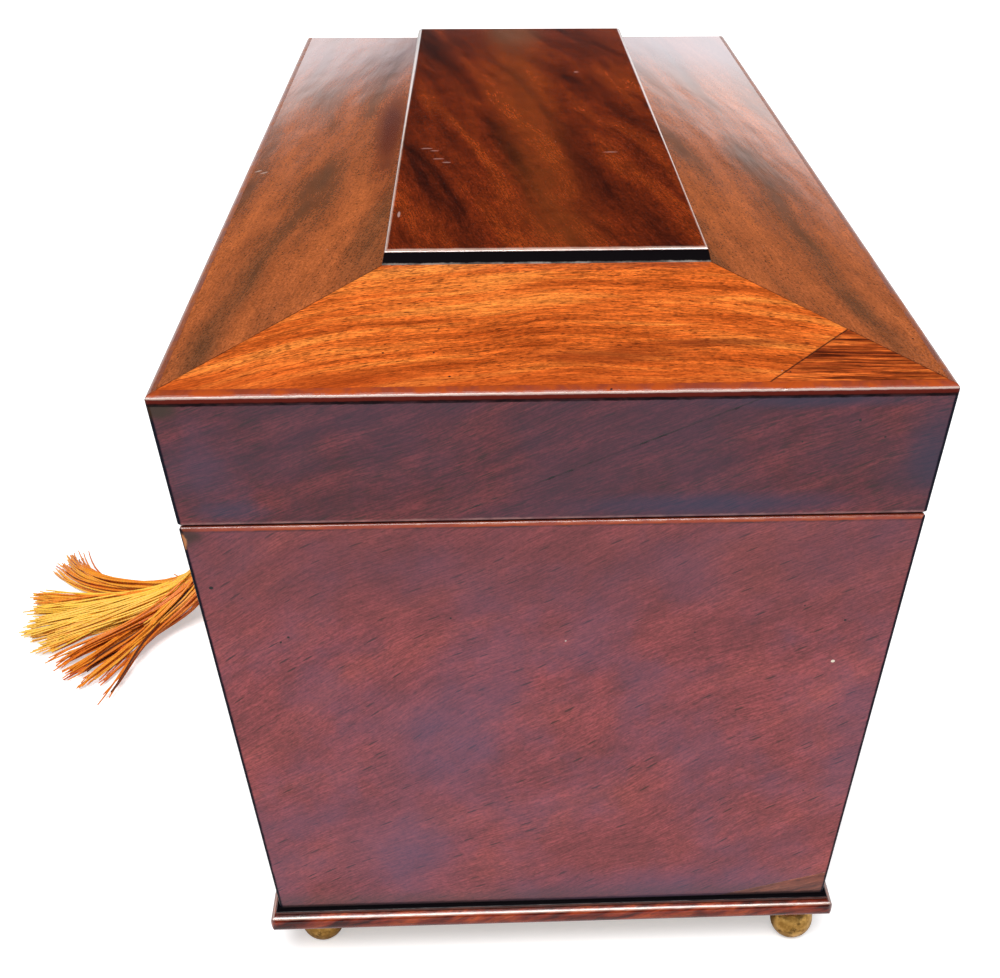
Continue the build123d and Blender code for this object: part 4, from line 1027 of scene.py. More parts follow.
LID_LEFT = Veneer(
    "lid_left_mahogany", "mahogany", Face.END.grain(-16, middle=(-160.0, 5.0, 130.0), warp=3.5, warp_size=45.0),
    **LID_WALL, **LID_GRAIN, figure=(36.0, 4.5), cloud_amount=0.35, marks=lid_marks(NEAR_RIM, 0.3, *upright_marks(-1)),
)
LID_LONG = Veneer(
    "lid_long_mahogany", "mahogany", Face.LONG.grain(5, middle=(10.0, 0.0, 130.0), warp=5.0, warp_size=70.0),
    **LID_WALL, **LID_GRAIN, figure=(60.0, 5.0), cloud_amount=0.25,
    marks=lid_marks(LONG_RIM, 0.05, *upright_marks(1, -1)),
)
SLOPE_GRAIN = {"fibre": 0.4, "ribbon": 0.22, "ribbon_size": (10.0, 0.9), "mottle": 0.12, "grit": 0.25,
               "pore": (0.07, 0.012, 0.003), "pore_size": (1.9, 0.42), "pore_share": 0.5, "pore_amount": 0.8,
               "fleck": 0.8, "fleck_size": (1.7, 0.3), "rough": 0.16}
PATCH_JOINT = Layer((0.702, 0.712, 0.0), 142.3, 142.65, JOINT_LINE, amount=0.85, soft=0.12, ragged=0.3)
NEAR_SLOPE = Veneer(
    "end_slope_mahogany", "mahogany_slope",
    Face.TOP_END.grain(0, middle=(150.0, 10.0, 0.0), bow=-0.003, warp=3.5, warp_size=38.0),
    deep=(0.45, 0.07, 0.008), middle=(0.78, 0.15, 0.02), pale=(0.95, 0.26, 0.042), **SLOPE_GRAIN,
    figure=(44.0, 4.5), figure_reach=(0.34, 0.5, 0.66), specks=0.2,
    marks=(
        Layer(UP, 144.0, 148.0, (0.42, 0.06, 0.008), amount=0.5, soft=0.8),
        Spot((153.0, 10.0, 149.0), (4.0, 26.0, 5.0), (0.24, 0.035, 0.006), amount=0.75, soft=0.9, ragged=0.6),
        Spot((149.0, 32.0, 149.9), (2.4, 26.0, 4.0), (0.16, 0.022, 0.005), amount=0.75, soft=0.9, ragged=0.6),
        *hip_marks((1, -1), (1, 1)),
        PATCH_JOINT,
    ),
)
SLOPE_PATCH = Veneer(
    "slope_patch_mahogany", "mahogany_slope", Face.TOP_END.grain(2, middle=(155.0, 60.0, 0.0), warp=1.2),
    deep=(0.1, 0.014, 0.004), middle=(0.42, 0.07, 0.011), pale=(0.74, 0.16, 0.026), figure=(26.0, 1.1), fibre=0.5,
    figure_reach=(0.38, 0.5, 0.6), ribbon=0.3, pore=(0.05, 0.01, 0.004), pore_size=(3.5, 0.3), rough=0.16,
    marks=(*hip_marks((1, 1)), PATCH_JOINT),
)
FAR_SLOPE = Veneer(
    "far_slope_mahogany", "mahogany_slope",
    Face.TOP_END.grain(0, middle=(-150.0, -8.0, 0.0), bow=0.003, warp=3.5, warp_size=38.0),
    deep=(0.4, 0.07, 0.01), middle=(0.7, 0.15, 0.024), pale=(0.85, 0.25, 0.045), **SLOPE_GRAIN,
    figure=(44.0, 4.5), figure_reach=(0.34, 0.5, 0.66), marks=hip_marks((-1, -1), (-1, 1)),
)
SIDE = {"deep": (0.16, 0.062, 0.026), "middle": (0.44, 0.115, 0.033), "pale": (0.6, 0.155, 0.04)}
SIDE_GRAIN = {"figure": (100.0, 12.0), "figure_reach": (0.3, 0.5, 0.7), "fibre": 0.14, "ribbon": 0.1,
              "mottle": 0.12, "grit": 0.28, "pore": (0.09, 0.03, 0.013), "pore_size": (1.4, 0.5), "pore_share": 0.5,
              "pore_amount": 0.6, "pore_depth": 0.0, "fleck": 0.5, "fleck_size": (0.9, 0.42), "rough": 0.09,
              "swell": 0.07}
LEFT_SLOPE = Veneer(
    "front_slope_mahogany", "mahogany_slope",
    Face.TOP_LONG.grain(-4.5, middle=(60.0, -55.0, 0.0), warp=5.0, warp_size=60.0), **SIDE, **SIDE_GRAIN,
    marks=(
        Spot((5.0, -37.0, 154.0), (75.0, 7.0, 9.0), (0.09, 0.012, 0.008), amount=0.85, soft=0.8),
        Spot((16.0, -71.2, 147.5), (0.7, 1.2, 2.0), (0.6, 0.5, 0.45), amount=0.7, soft=0.4, ragged=0.6),
        Spot((19.0, -69.4, 148.0), (0.7, 1.3, 2.0), (0.6, 0.5, 0.45), amount=0.6, soft=0.4, ragged=0.6),
        # Painted reflection: a pale sheen over the far part of the slope.
        Layer((1.0, -0.5, 0.0), -220.0, -50.0, LEFT_PAINTED_REFLECTION, amount=0.62, soft=40.0, ragged=9.0, patchy=0.35),
        *hip_marks((1, -1), (-1, -1)),
    ),
)
RIGHT_SLOPE = Veneer(
    "back_slope_mahogany", "mahogany_slope",
    Face.TOP_LONG.grain(6, middle=(40.0, 58.0, 0.0), warp=5.0, warp_size=60.0), **SIDE, **SIDE_GRAIN,
    marks=(
        # Painted reflection: a pale sheen over the far part of the slope.
        Layer((1.0, 0.4, 0.0), -220.0, -68.0, RIGHT_PAINTED_REFLECTION, amount=0.65, soft=40.0, ragged=9.0),
        *hip_marks((1, 1), (-1, 1)),
    ),
)
TABLET = Veneer(
    "tablet_flame_mahogany", "flame_mahogany",
    Face.TOP_LONG.grain(11, middle=(40.0, -2.0, 0.0), warp=6.0, warp_size=70.0),
    deep=(0.05, 0.007, 0.003), middle=(0.2, 0.025, 0.005), pale=(0.37, 0.055, 0.008), figure=(80.0, 8.0),
    figure_reach=(0.32, 0.5, 0.7), fibre=0.35, ribbon=0.12, ribbon_size=(8.0, 1.0), mottle=0.2, grit=0.3,
    pore=(0.025, 0.006, 0.003), pore_size=(1.5, 0.45), pore_share=0.5, pore_amount=0.5, pore_depth=0.0, fleck=0.5,
    fleck_size=(1.1, 0.45), rough=0.07, swell=0.03,
    marks=(
        Layer((-0.035, 1.0, 0.0), -5.5, 4.5, (0.34, 0.075, 0.014), amount=0.45, soft=9.0, ragged=9.0, patchy=0.3),
        Spot((-110.0, -2.0, TABLET_TOP), (40.0, 12.0, 9.0), (0.2, 0.09, 0.045), amount=0.6, soft=0.9),
        Spot((60.0, 11.0, TABLET_TOP), (55.0, 7.0, 9.0), (0.05, 0.007, 0.003), amount=0.55, soft=0.9, ragged=0.5),
        scratch(37.4, -26.6, 0.6, 1.7),
        scratch(39.6, -24.6, 0.5, 1.5),
        scratch(47.2, -23.6, 0.6, 1.6),
        scratch(50.6, -21.6, 0.7, 1.3),
        scratch(42.0, 18.4, 0.6, 2.2, soft=0.5),
        scratch(-49.4, 15.0, 1.6, 1.0, amount=0.3, soft=0.6),
        scratch(93.0, -31.2, 2.6, 0.35, amount=0.6, ragged=0.4),
        Layer(UP, 150.0, 158.0, NEAR_BLACK, soft=0.15, rough=0.12, shine=MATT),
        # Painted highlight on the tablet's top arris.
        Layer(UP, 158.0, 158.45, PAINTED_HIGHLIGHT, amount=0.6, soft=0.1, ragged=0.15, patchy=0.25, shine=1.0),
        Layer(UP, 154.2, 155.82, (0.34, 0.32, 0.29), amount=0.8, soft=0.12, ragged=0.6, patchy=0.7, rough=0.9),
    ),
)
MOULDING_LOOK = {
    "deep": (0.035, 0.003, 0.002), "middle": (0.17, 0.017, 0.006), "pale": (0.33, 0.05, 0.012),
    "figure": (10.0, 2.2), "fibre": 0.3, "pore_amount": 0.5, "rough": 0.16,
    "marks": (
        Layer(UP, 14.7, 15.7, (0.05, 0.014, 0.009), amount=0.85, soft=0.15, ragged=0.3),
        # Painted highlight on the nose of the moulding.
        Layer(UP, 13.95, 14.35, (0.8, 0.52, 0.4), amount=0.42, soft=0.12, ragged=0.2, patchy=0.4, shine=1.0),
        # Black line where the wall stands on the moulding: painted shade in the gap.
        Layer(UP, FLOOR - 0.8, FLOOR + 1, NEAR_BLACK, soft=0.15, ragged=0.3, shine=MATT),
        # Lilac lower band with a pale bottom edge where the moulding turns under: painted reflection of the floor.
        Layer(UP, 9.4, 11.3, (0.33, 0.14, 0.17), amount=0.85, soft=0.5, ragged=0.6),
        Layer(UP, 8.0, 9.7, (0.6, 0.42, 0.42), amount=0.8, soft=0.15, patchy=0.5),
    ),
}
MOULDING = Veneer(
    "base_moulding_mahogany", "mahogany", Face.LONG.grain(14, warp=3.0, warp_size=30.0), **MOULDING_LOOK,
)
MOULDING_END = Veneer(
    "end_moulding_mahogany", "mahogany", Face.END.grain(14, warp=3.0, warp_size=30.0), **MOULDING_LOOK,
)
END_PATCH = Veneer(
    "end_patch_mahogany", "mahogany_slope", Face.END.grain(16, middle=(154.0, 50.0, 17.0), warp=1.5),
    deep=(0.16, 0.035, 0.02), middle=(0.3, 0.075, 0.04), pale=(0.42, 0.12, 0.06), figure=(16.0, 1.4), fibre=0.3,
    rough=0.26, marks=(*body_marks(), *upright_marks(1)),
)
CARCASS = Veneer(
    "carcass_pine", "carcass_wood", Face.TOP_LONG.grain(1, warp=6.0, warp_size=70.0),
    deep=(0.36, 0.2, 0.08), middle=(0.5, 0.31, 0.14), pale=(0.6, 0.4, 0.2), figure=(160.0, 5.0), fibre=0.3,
    pore=(0.25, 0.12, 0.05), pore_amount=0.3, cloud=(0.2, 0.13, 0.08), cloud_amount=0.4, rough=0.75,
)
INNER = Veneer(
    "inner_mahogany", "inner_mahogany", Face.TOP_LONG.grain(2, warp=4.0, warp_size=50.0),
    deep=(0.17, 0.045, 0.015), middle=(0.3, 0.085, 0.025), pale=(0.44, 0.14, 0.045), figure=(90.0, 6.0),
    fibre=0.3, rough=0.36, cloud=(0.16, 0.06, 0.03), cloud_amount=0.25,
)
BRASS = Metal("old_brass", "brass", (0.75, 0.5, 0.18), (0.42, 0.27, 0.09), (0.05, 0.16, 0.11), grime=0.55)
GILT = Metal("gilt_brass", "gilt", (0.72, 0.42, 0.12), (0.38, 0.2, 0.045), (0.03, 0.02, 0.01), rough=0.28,
             grime=0.75, patch=3.4)
STEEL = Metal("oiled_steel", "steel", (0.42, 0.4, 0.38), (0.2, 0.18, 0.17), (0.09, 0.05, 0.03), rough=0.34)
TIN = Metal("tin_foil", "tin_foil", (0.5, 0.5, 0.5), (0.36, 0.36, 0.36), (0.2, 0.19, 0.18), rough=0.42,
            patch=14.0, metallic=0.3)
BAIZE = Cloth("green_baize", "baize", (0.06, 0.13, 0.05), (0.025, 0.06, 0.025), nap=0.4)
LINING = Cloth("lining_paper", "paper", (0.4, 0.26, 0.15), (0.26, 0.15, 0.08), nap=0.8, sheen=0.0, rough=0.9)
BONE = Bone("turned_bone", "bone")
GLASS = Glass("blown_glass", "glass")
SILK = Silk("silk_thread", "silk")

# Pieces

SAME_POINT = 1e-6
FLAT = math.radians(0.2)
SHARP = math.radians(32)


@dataclass
class Workshop:
    """What every sub-assembly needs: the loaded frame, the body of each node and the finishes made so far."""

    frame: dict
    finishes: Finishes = field(default_factory=Finishes)
    bodies: dict[str, str] = field(default_factory=dict)

    def __post_init__(self) -> None:
        """Note the body that each node belongs to."""
        for body, nodes in self.frame["record"]["behaviour"]["bodies"].items():
            self.bodies.update({node: body for node in nodes})

    def dress(self, node: str, finish: Finish) -> None:
        """Give a CAD node its finish.

        Args:
            node: The node's name.
            finish: What it wears.
        """
        piece = self.frame["nodes"][node]
        material = self.finishes.get(finish)
        for slot in piece.material_slots:
            slot.material = material
        LOG.info("%s: %s", node, finish.name)

    def wear(self, node: str, finish: Finish, rounding: float = 0.0) -> None:
        """Stand a smoothed copy of a CAD node in its place, with its sharp arrises rubbed round.

        Args:
            node: The node's name.
            finish: What it wears.
            rounding: How wide each rubbed arris is, in millimetres.
        """
        mesh = self.frame["nodes"][node].data.copy()
        mesh.materials.clear()
        mesh.materials.append(self.finishes.get(finish))
        work = bmesh.new()
        work.from_mesh(mesh)
        bmesh.ops.remove_doubles(work, verts=work.verts, dist=SAME_POINT)
        bmesh.ops.dissolve_limit(work, angle_limit=FLAT, verts=work.verts, edges=work.edges)
        for face in work.faces:
            face.smooth = True
            face.material_index = 0
        work.to_mesh(mesh)
        work.free()
        mesh.set_sharp_from_angle(angle=SHARP)
        piece = put_in_scene(f"{node}_piece", mesh)
        if rounding:
            bevel = piece.modifiers.new("arris", "BEVEL")
            bevel.width = rounding * MM
            bevel.segments = 2
            bevel.limit_method = "ANGLE"
            bevel.angle_limit = SHARP
        normals = piece.modifiers.new("shading", "WEIGHTED_NORMAL")
        normals.mode = "FACE_AREA"
        normals.weight = 100
        normals.keep_sharp = True
        self.add(piece, self.bodies[node], finish, node)

    def add(self, piece: bpy.types.Object, body: str, finish: Finish, *nodes: str) -> None:
        """Fix a new piece to its body.

        Args:
            piece: The piece.
            body: The body that carries it.
            finish: What it wears.
            *nodes: The CAD nodes that it stands for.
        """
        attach(piece, body)
        if nodes:
            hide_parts(*nodes)
        LOG.info("%s on %s: %s", piece.name, body, finish.name)

    def mesh(self, name: str, verts: list[Vector], faces: list[tuple[int, ...]],
             finish: Finish) -> bpy.types.Object:
        """Make a piece from points and faces, with its faces turned outwards.

        Args:
            name: The piece's name.
            verts: Its points.
            faces: Its faces, as numbers of points.
            finish: What it wears.

        Returns:
            The piece.
        """
        mesh = bpy.data.meshes.new(name)
        mesh.from_pydata([tuple(vert) for vert in verts], [], faces)
        work = bmesh.new()
        work.from_mesh(mesh)
        bmesh.ops.recalc_face_normals(work, faces=work.faces)
        for face in work.faces:
            face.smooth = True
        work.to_mesh(mesh)
        work.free()
        mesh.materials.append(self.finishes.get(finish))
        return put_in_scene(name, mesh)


@dataclass
class Case:
    """The body of the caddy: its walls, base moulding, feet and inner fittings."""

    workshop: Workshop
    arris: float = 0.22
    joint: float = 0.12

    def build(self) -> None:
        """Dress every piece of the case."""
        shop = self.workshop
        for node, finish in (("right_end_board", END_PANEL), ("left_end_board", LEFT_PANEL),
                             ("front_board", FRONT_PANEL), ("back_board", BACK_PANEL),
                             ("end_veneer_patch", END_PATCH)):
            shop.wear(node, finish, self.joint)
        for side, finish in (("front", MOULDING), ("back", MOULDING), ("left", MOULDING_END), ("right", MOULDING_END)):
            shop.wear(f"plinth_moulding_{side}", finish, self.joint)
        shop.wear("ball_feet", GILT)
        shop.dress("base_board", CARCASS)
        self.build_inside()

    def build_inside(self) -> None:
        """Dress the compartments, the well and its board."""
        shop = self.workshop
        shop.wear("bowl_surround", INNER, self.arris)
        shop.dress("bowl_pad", BAIZE)
        shop.dress("inner_lid_ledges", INNER)
        for side in ("left", "right"):
            shop.dress(f"partition_{side}", INNER)
            shop.dress(f"tea_lining_{side}", TIN)
            shop.wear(f"hinge_rail_{side}", INNER, self.joint)


@dataclass
class Lid:
    """The lid: its walls, four veneered slopes, tablet and lining."""

    workshop: Workshop
    arris: float = 0.08

    def build(self) -> None:
        """Dress every piece of the lid."""
        shop = self.workshop
        for side, finish in (("right", LID_END), ("left", LID_LEFT), ("front", LID_LONG), ("back", LID_LONG)):
            shop.wear(f"lid_{side}_wall", finish, self.arris)
        for node, finish in (("lid_slope_right", NEAR_SLOPE), ("slope_veneer_patch", SLOPE_PATCH),
                             ("lid_slope_left", FAR_SLOPE), ("lid_slope_front", LEFT_SLOPE),
                             ("lid_slope_back", RIGHT_SLOPE), ("lid_tablet", TABLET)):
            shop.wear(node, finish)
        shop.dress("lid_top_board", CARCASS)
        shop.dress("lid_lining", LINING)


@dataclass
class Fittings:
    """The metalwork: hinges, lock, key and screws."""

    workshop: Workshop
    edge: float = 0.12

    def build(self) -> None:
        """Dress every piece of metal."""
        shop = self.workshop
        for node in ("hinge_body_leaves", "hinge_lid_leaves", "lock_backplate", "escutcheon", "link_plate"):
            shop.wear(node, BRASS, self.edge)
        for node in ("inner_hinge_rail_leaves", "inner_hinge_lid_leaves_left", "inner_hinge_lid_leaves_right"):
            shop.wear(node, BRASS, self.edge / 2)
        for node in ("link_eye", "lock_bolt", "inner_hinge_pins"):
            shop.dress(node, BRASS)
        for node in ("hinge_pins", "hinge_body_screws", "hinge_lid_screws", "lock_screws", "link_plate_screws"):
            shop.dress(node, STEEL)
        shop.dress("lock_case", STEEL)
        shop.wear("key", STEEL, self.edge)


@dataclass
class Contents:
    """What the lid covers: the inner lids with their knobs, and the mixing bowl."""

    workshop: Workshop
    arris: float = 0.3

    def build(self) -> None:
        """Dress the contents."""
        shop = self.workshop
        for side in ("left", "right"):
            shop.wear(f"inner_lid_{side}", INNER, self.arris)
            shop.wear(f"inner_lid_knob_{side}", BONE)
        shop.wear("mixing_bowl", GLASS)


# Tassel


def smooth_path(points: list[Triple], steps: int = 12) -> list[Vector]:
    """Read the smooth line of a NURBS spline with these control points.

    Args:
        points: The control points, in metres.
        steps: How finely each stretch is read.

    Returns:
        Points along the line.
    """
    curve = bpy.data.curves.new("route", "CURVE")
    curve.dimensions = "3D"
    curve.resolution_u = steps
    spline = curve.splines.new("NURBS")
    spline.points.add(len(points) - 1)
    for point, place in zip(spline.points, points):
        point.co = (*place, 1.0)
    spline.order_u = 3
    spline.use_endpoint_u = True
    holder = bpy.data.objects.new("route", curve)
    mesh = bpy.data.meshes.new_from_object(holder)
    path = [vert.co.copy() for vert in mesh.vertices]
    bpy.data.objects.remove(holder)
    bpy.data.meshes.remove(mesh)
    return path


def resample(path: list[Vector], spacing: float) -> list[Vector]:
    """Space the points of a line evenly.

    Args:
        path: The line.
        spacing: The distance between points.

    Returns:
        The new points, both ends kept.
    """
    lengths = [0.0]
    for first, second in zip(path, path[1:]):
        lengths.append(lengths[-1] + (second - first).length)
    count = max(2, round(lengths[-1] / spacing))
    points = []
    place = 0
    for index in range(count + 1):
        goal = lengths[-1] * index / count
        while place < len(path) - 2 and lengths[place + 1] < goal:
            place += 1
        run = lengths[place + 1] - lengths[place]
        share = (goal - lengths[place]) / run if run else 0.0
        points.append(path[place].lerp(path[place + 1], min(share, 1.0)))
    return points


@dataclass
class Rope:
    """A twisted cord of a few plies about a line.

    A ply's radius is a share of the cord's diameter. The silk's colour is far enough along each thread to be clear
    of the shade at a bundle's root.
    """

    PLY_SHARE = 0.27
    TINT = 0.5
    CLEAR_OF_ROOT = 20.0

    diameter: float = 0.0022
    plies: int = 3
    pitch: float = 0.0062
    sides: int = 8
    spacing: float = 0.0005

    def build(self, workshop: Workshop, name: str, path: list[Vector], closed: bool = False) -> bpy.types.Object:
        """Twist the plies about a line.

        Args:
            workshop: Where the piece is made.
            name: The piece's name.
            path: The line.
            closed: Whether its end meets its start.

        Returns:
            The rope.
        """
        points = resample(path, self.spacing)
        if closed:
            points = points[:-1]
        turns = max(1, round(self.spacing * len(points) / self.pitch))
        verts: list[Vector] = []
        faces: list[tuple[int, ...]] = []
        frames = self.frames(points, closed)
        ply_radius = self.diameter * self.PLY_SHARE
        offset = self.diameter / 2 - ply_radius
        for ply in range(self.plies):
            start = len(verts)
            for index, (point, right, up) in enumerate(frames):
                turn = TURN * (turns * index / len(frames) + ply / self.plies)
                centre = point + (right * math.cos(turn) + up * math.sin(turn)) * offset
                for side in range(self.sides):
                    angle = TURN * side / self.sides
                    verts.append(centre + (right * math.cos(angle) + up * math.sin(angle)) * ply_radius)
            self.skin(faces, start, len(frames), closed)
        piece = workshop.mesh(name, verts, faces, SILK)
        self.mark(piece, len(frames))
        return piece

    def frames(self, points: list[Vector], closed: bool) -> list[tuple[Vector, Vector, Vector]]:
        """Give each point of a line two directions across it, without a twist of their own.

        Args:
            points: The line.
            closed: Whether its end meets its start.

        Returns:
            Each point with its two directions.
        """
        right = Vector((1.0, 0.0, 0.0))
        frames = []
        for index, point in enumerate(points):
            if closed:
                tangent = points[(index + 1) % len(points)] - points[index - 1]
            else:
                tangent = points[min(index + 1, len(points) - 1)] - points[max(index - 1, 0)]
            tangent.normalize()
            right = right - tangent * right.dot(tangent)
            if right.length < 0.1:
                right = tangent.orthogonal()
            right.normalize()
            frames.append((point, right, tangent.cross(right)))
        return frames

    def skin(self, faces: list[tuple[int, ...]], start: int, rings: int, closed: bool) -> None:
        """Join rings of points into a closed tube.

        Args:
            faces: The faces, which are added to.
            start: The number of the first point.
            rings: How many rings there are.
            closed: Whether the last ring joins the first.
        """
        sides = self.sides
        for ring in range(rings if closed else rings - 1):
            here = start + ring * sides
            there = start + ((ring + 1) % rings) * sides
            for side in range(sides):
                after = (side + 1) % sides
                faces.append((here + side, here + after, there + after, there + side))
        if not closed:
            faces.append(tuple(range(start, start + sides)))
            faces.append(tuple(range(start + (rings - 1) * sides, start + rings * sides)))

    def mark(self, piece: bpy.types.Object, rings: int) -> None:
        """Store the tint and the length along each ply for the silk's finish.

        Args:
            piece: The rope.
            rings: How many rings each ply has.
        """
        tint = piece.data.attributes.new("tint", "FLOAT", "POINT")
        along = piece.data.attributes.new("along", "FLOAT", "POINT")
        for index in range(len(piece.data.vertices)):
            ring = index // self.sides % rings
            tint.data[index].value = self.TINT
            along.data[index].value = self.CLEAR_OF_ROOT + ring * self.spacing / MM


class ThreadBook(Book):
    """A Geometry Nodes tree that makes threads: many thin curves, placed by formula and given a skin.

    The bundle's top falls by two shares, one steeply at the neck and one evenly out to the tips. Threads start
    partly opened, swing a few times, lie a little above the table and thin out at their tips. A few odd ones are
    darker.
    """

    STEEP_LENGTH = 9.0 * MM
    STEEP_SHARE, EVEN_SHARE = 0.55, 0.45
    CLOSED_SHARE, OPEN_SHARE = 0.15, 0.85
    SWINGS = 6.5
    NECK_FADE = 110.0
    TABLE_GAP = 1.3
    TIP_THINNING, TIP_POWER = 0.45, 6.0
    TINT_RANGE = 0.55
    ODD_SHARE, ODD_SHADE = 0.05, 0.45
    HEAD_TWIST, HEAD_JITTER = 0.35, 0.03
    HEAD_TINT_RANGE = 0.3
    HEAD_START, HEAD_LENGTH = 12.0, 14.0
    OWN_SALT = 20
    INPUTS = (
        ("Count", "NodeSocketInt"), ("Seed", "NodeSocketInt"), ("Heading", "NodeSocketFloat"),
        ("Spread", "NodeSocketFloat"), ("Reach", "NodeSocketFloat"), ("Uneven", "NodeSocketFloat"),
        ("Neck Radius", "NodeSocketFloat"), ("Neck Height", "NodeSocketFloat"), ("Tip Height", "NodeSocketFloat"),
        ("Centre", "NodeSocketVector"), ("Thread Radius", "NodeSocketFloat"), ("Wave", "NodeSocketFloat"),
        ("Tint", "NodeSocketFloat"), ("Lock", "NodeSocketInt"), ("Root", "NodeSocketFloat"),
        ("Late", "NodeSocketFloat"), ("Finish", "NodeSocketMaterial"),
    )

    def __init__(self, name: str, steps: int = 18, sides: int = 5) -> None:
        """Make the tree.

        Args:
            name: The tree's name.
            steps: How many points each thread has.
            sides: How many sides its skin has.
        """
        super().__init__(bpy.data.node_groups.new(name, "GeometryNodeTree"))
        for label, kind in self.INPUTS:
            self.tree.interface.new_socket(label, in_out="INPUT", socket_type=kind)
        self.tree.interface.new_socket("Geometry", in_out="OUTPUT", socket_type="NodeSocketGeometry")
        self.given = self.add("NodeGroupInput").outputs
        self.steps = steps
        self.sides = sides

    def threads(self) -> bpy.types.NodeSocket:
        """Make the straight threads that are to be placed, as many as the count says."""
        line = self.add("GeometryNodeCurvePrimitiveLine").outputs[0]
        line = self.add("GeometryNodeResampleCurve", {"Curve": line, "Count": self.steps}).outputs[0]
        places = self.add("GeometryNodePoints", {"Count": self.given["Count"]}).outputs[0]
        copies = self.add("GeometryNodeInstanceOnPoints", {"Points": places, "Instance": line}).outputs[0]
        return self.add("GeometryNodeRealizeInstances", {"Geometry": copies}).outputs[0]

    def random(self, low: float, high: float, salt: int, lock: bool = False) -> bpy.types.NodeSocket:
        """Give each thread, or each lock of threads, a random number of its own.

        Args:
            low: The least.
            high: The most.
            salt: What makes this number differ from the thread's others.
            lock: Whether all the threads of a lock share it.

        Returns:
            The number.
        """
        index = self.add("GeometryNodeCurveOfPoint").outputs["Curve Index"]
        if lock:
            index = self.maths("FLOOR", self.maths("DIVIDE", index, self.given["Lock"]))
        seed = self.maths("ADD", self.given["Seed"], float(salt))
        inputs = {"Min": low, "Max": high, "ID": index, "Seed": seed}
        return self.result(self.add("FunctionNodeRandomValue", inputs, data_type="FLOAT"))

    def clothe(self, curves: bpy.types.NodeSocket, position: bpy.types.NodeSocket, radius: bpy.types.NodeSocket,
               tint: bpy.types.NodeSocket, along: bpy.types.NodeSocket) -> None:
        """Place the threads, give them their skin, tint and finish, and end the tree.

        Args:
            curves: The threads.
            position: Where each of their points goes.
            radius: How thick they are there.
            tint: Their tint.
            along: The length along them, in millimetres.
        """
        curves = self.add("GeometryNodeSetPosition", {"Geometry": curves, "Position": position}).outputs[0]
        curves = self.add("GeometryNodeSetCurveRadius", {"Curve": curves, "Radius": radius}).outputs[0]
        for label, value in (("tint", tint), ("along", along)):
            inputs = {"Geometry": curves, "Name": label, "Value": value}
            curves = self.add("GeometryNodeStoreNamedAttribute", inputs, data_type="FLOAT", domain="POINT").outputs[0]
        ring = self.add("GeometryNodeCurvePrimitiveCircle", {"Resolution": self.sides, "Radius": 1.0}).outputs[0]
        skin = self.add("GeometryNodeCurveToMesh", {"Curve": curves, "Profile Curve": ring, "Fill Caps": True})
        if "Scale" in skin.inputs:
            self.feed(skin.inputs["Scale"], self.add("GeometryNodeInputRadius").outputs[0])
        mesh = self.add("GeometryNodeRealizeInstances", {"Geometry": skin.outputs[0]}).outputs[0]
        mesh = self.add("GeometryNodeSetShadeSmooth", {"Geometry": mesh}).outputs[0]
        mesh = self.add("GeometryNodeSetMaterial", {"Geometry": mesh, "Material": self.given["Finish"]}).outputs[0]
        self.add("NodeGroupOutput", {"Geometry": mesh})

    def fall(self, radius: bpy.types.NodeSocket) -> bpy.types.NodeSocket:
        """The height of the bundle's top at a distance from the neck's line.

        Args:
            radius: The distance.

        Returns:
            The height.
        """
        drop = self.maths("SUBTRACT", self.given["Neck Height"], self.given["Tip Height"])
        out = self.maths("SUBTRACT", radius, self.given["Neck Radius"])
        steep = self.maths("EXPONENT", self.maths("DIVIDE", self.maths("MAXIMUM", out, 0.0), -self.STEEP_LENGTH))
        left = self.maths("SUBTRACT", 1.0, self.maths("DIVIDE", radius, self.given["Reach"]), clamp=True)
        steep = self.maths("MULTIPLY", steep, self.STEEP_SHARE)
        shape = self.maths("ADD", steep, self.maths("MULTIPLY", left, self.EVEN_SHARE))
        return self.maths("MULTIPLY_ADD", shape, drop, self.given["Tip Height"])

    def spread(self) -> bpy.types.NodeTree:
        """Fan the threads out over the table from the bound neck.

        Returns:
            The finished tree.
        """
        share = self.add("GeometryNodeSplineParameter").outputs["Factor"]
        side = self.mingle(-1.0, 1.0, salt=1, share=0.8)
        layer = self.mingle(0.0, 1.0, salt=2, share=0.6)
        reach = self.maths("MULTIPLY", self.given["Uneven"], self.mingle(0.0, 1.0, salt=3, share=0.6))
        reach = self.maths("MULTIPLY", self.given["Reach"], self.maths("SUBTRACT", 1.0, reach))
        phase = self.mingle(0.0, TURN, salt=4, share=0.8)
        opened = self.maths("POWER", share, self.given["Late"])
        opened = self.maths("MULTIPLY_ADD", opened, self.OPEN_SHARE, self.CLOSED_SHARE)
        angle = self.maths("MULTIPLY_ADD", side, self.given["Spread"], self.given["Heading"])
        angle = self.maths("MULTIPLY_ADD", self.maths("SUBTRACT", angle, self.given["Root"]), opened,
                           self.given["Root"])
        swing = self.maths("SINE", self.maths("MULTIPLY_ADD", share, self.SWINGS, phase))
        swing = self.maths("MULTIPLY", self.maths("MULTIPLY", swing, share), self.given["Wave"])
        radius = self.maths("MULTIPLY", reach, share)
        out = self.join(self.maths("MULTIPLY", self.maths("SINE", angle), -1.0),
                        self.maths("MULTIPLY", self.maths("COSINE", angle), -1.0), 0.0)
        over = self.join(self.maths("COSINE", angle), self.maths("MULTIPLY", self.maths("SINE", angle), -1.0), 0.0)
        top = self.fall(radius)
        near = self.maths("EXPONENT", self.maths("MULTIPLY", radius, -self.NECK_FADE))
        lift = self.maths("ADD", layer, self.maths("MULTIPLY", near, self.maths("SUBTRACT", 1.0, layer)))
        floor = self.maths("MULTIPLY", self.given["Thread Radius"], self.TABLE_GAP)
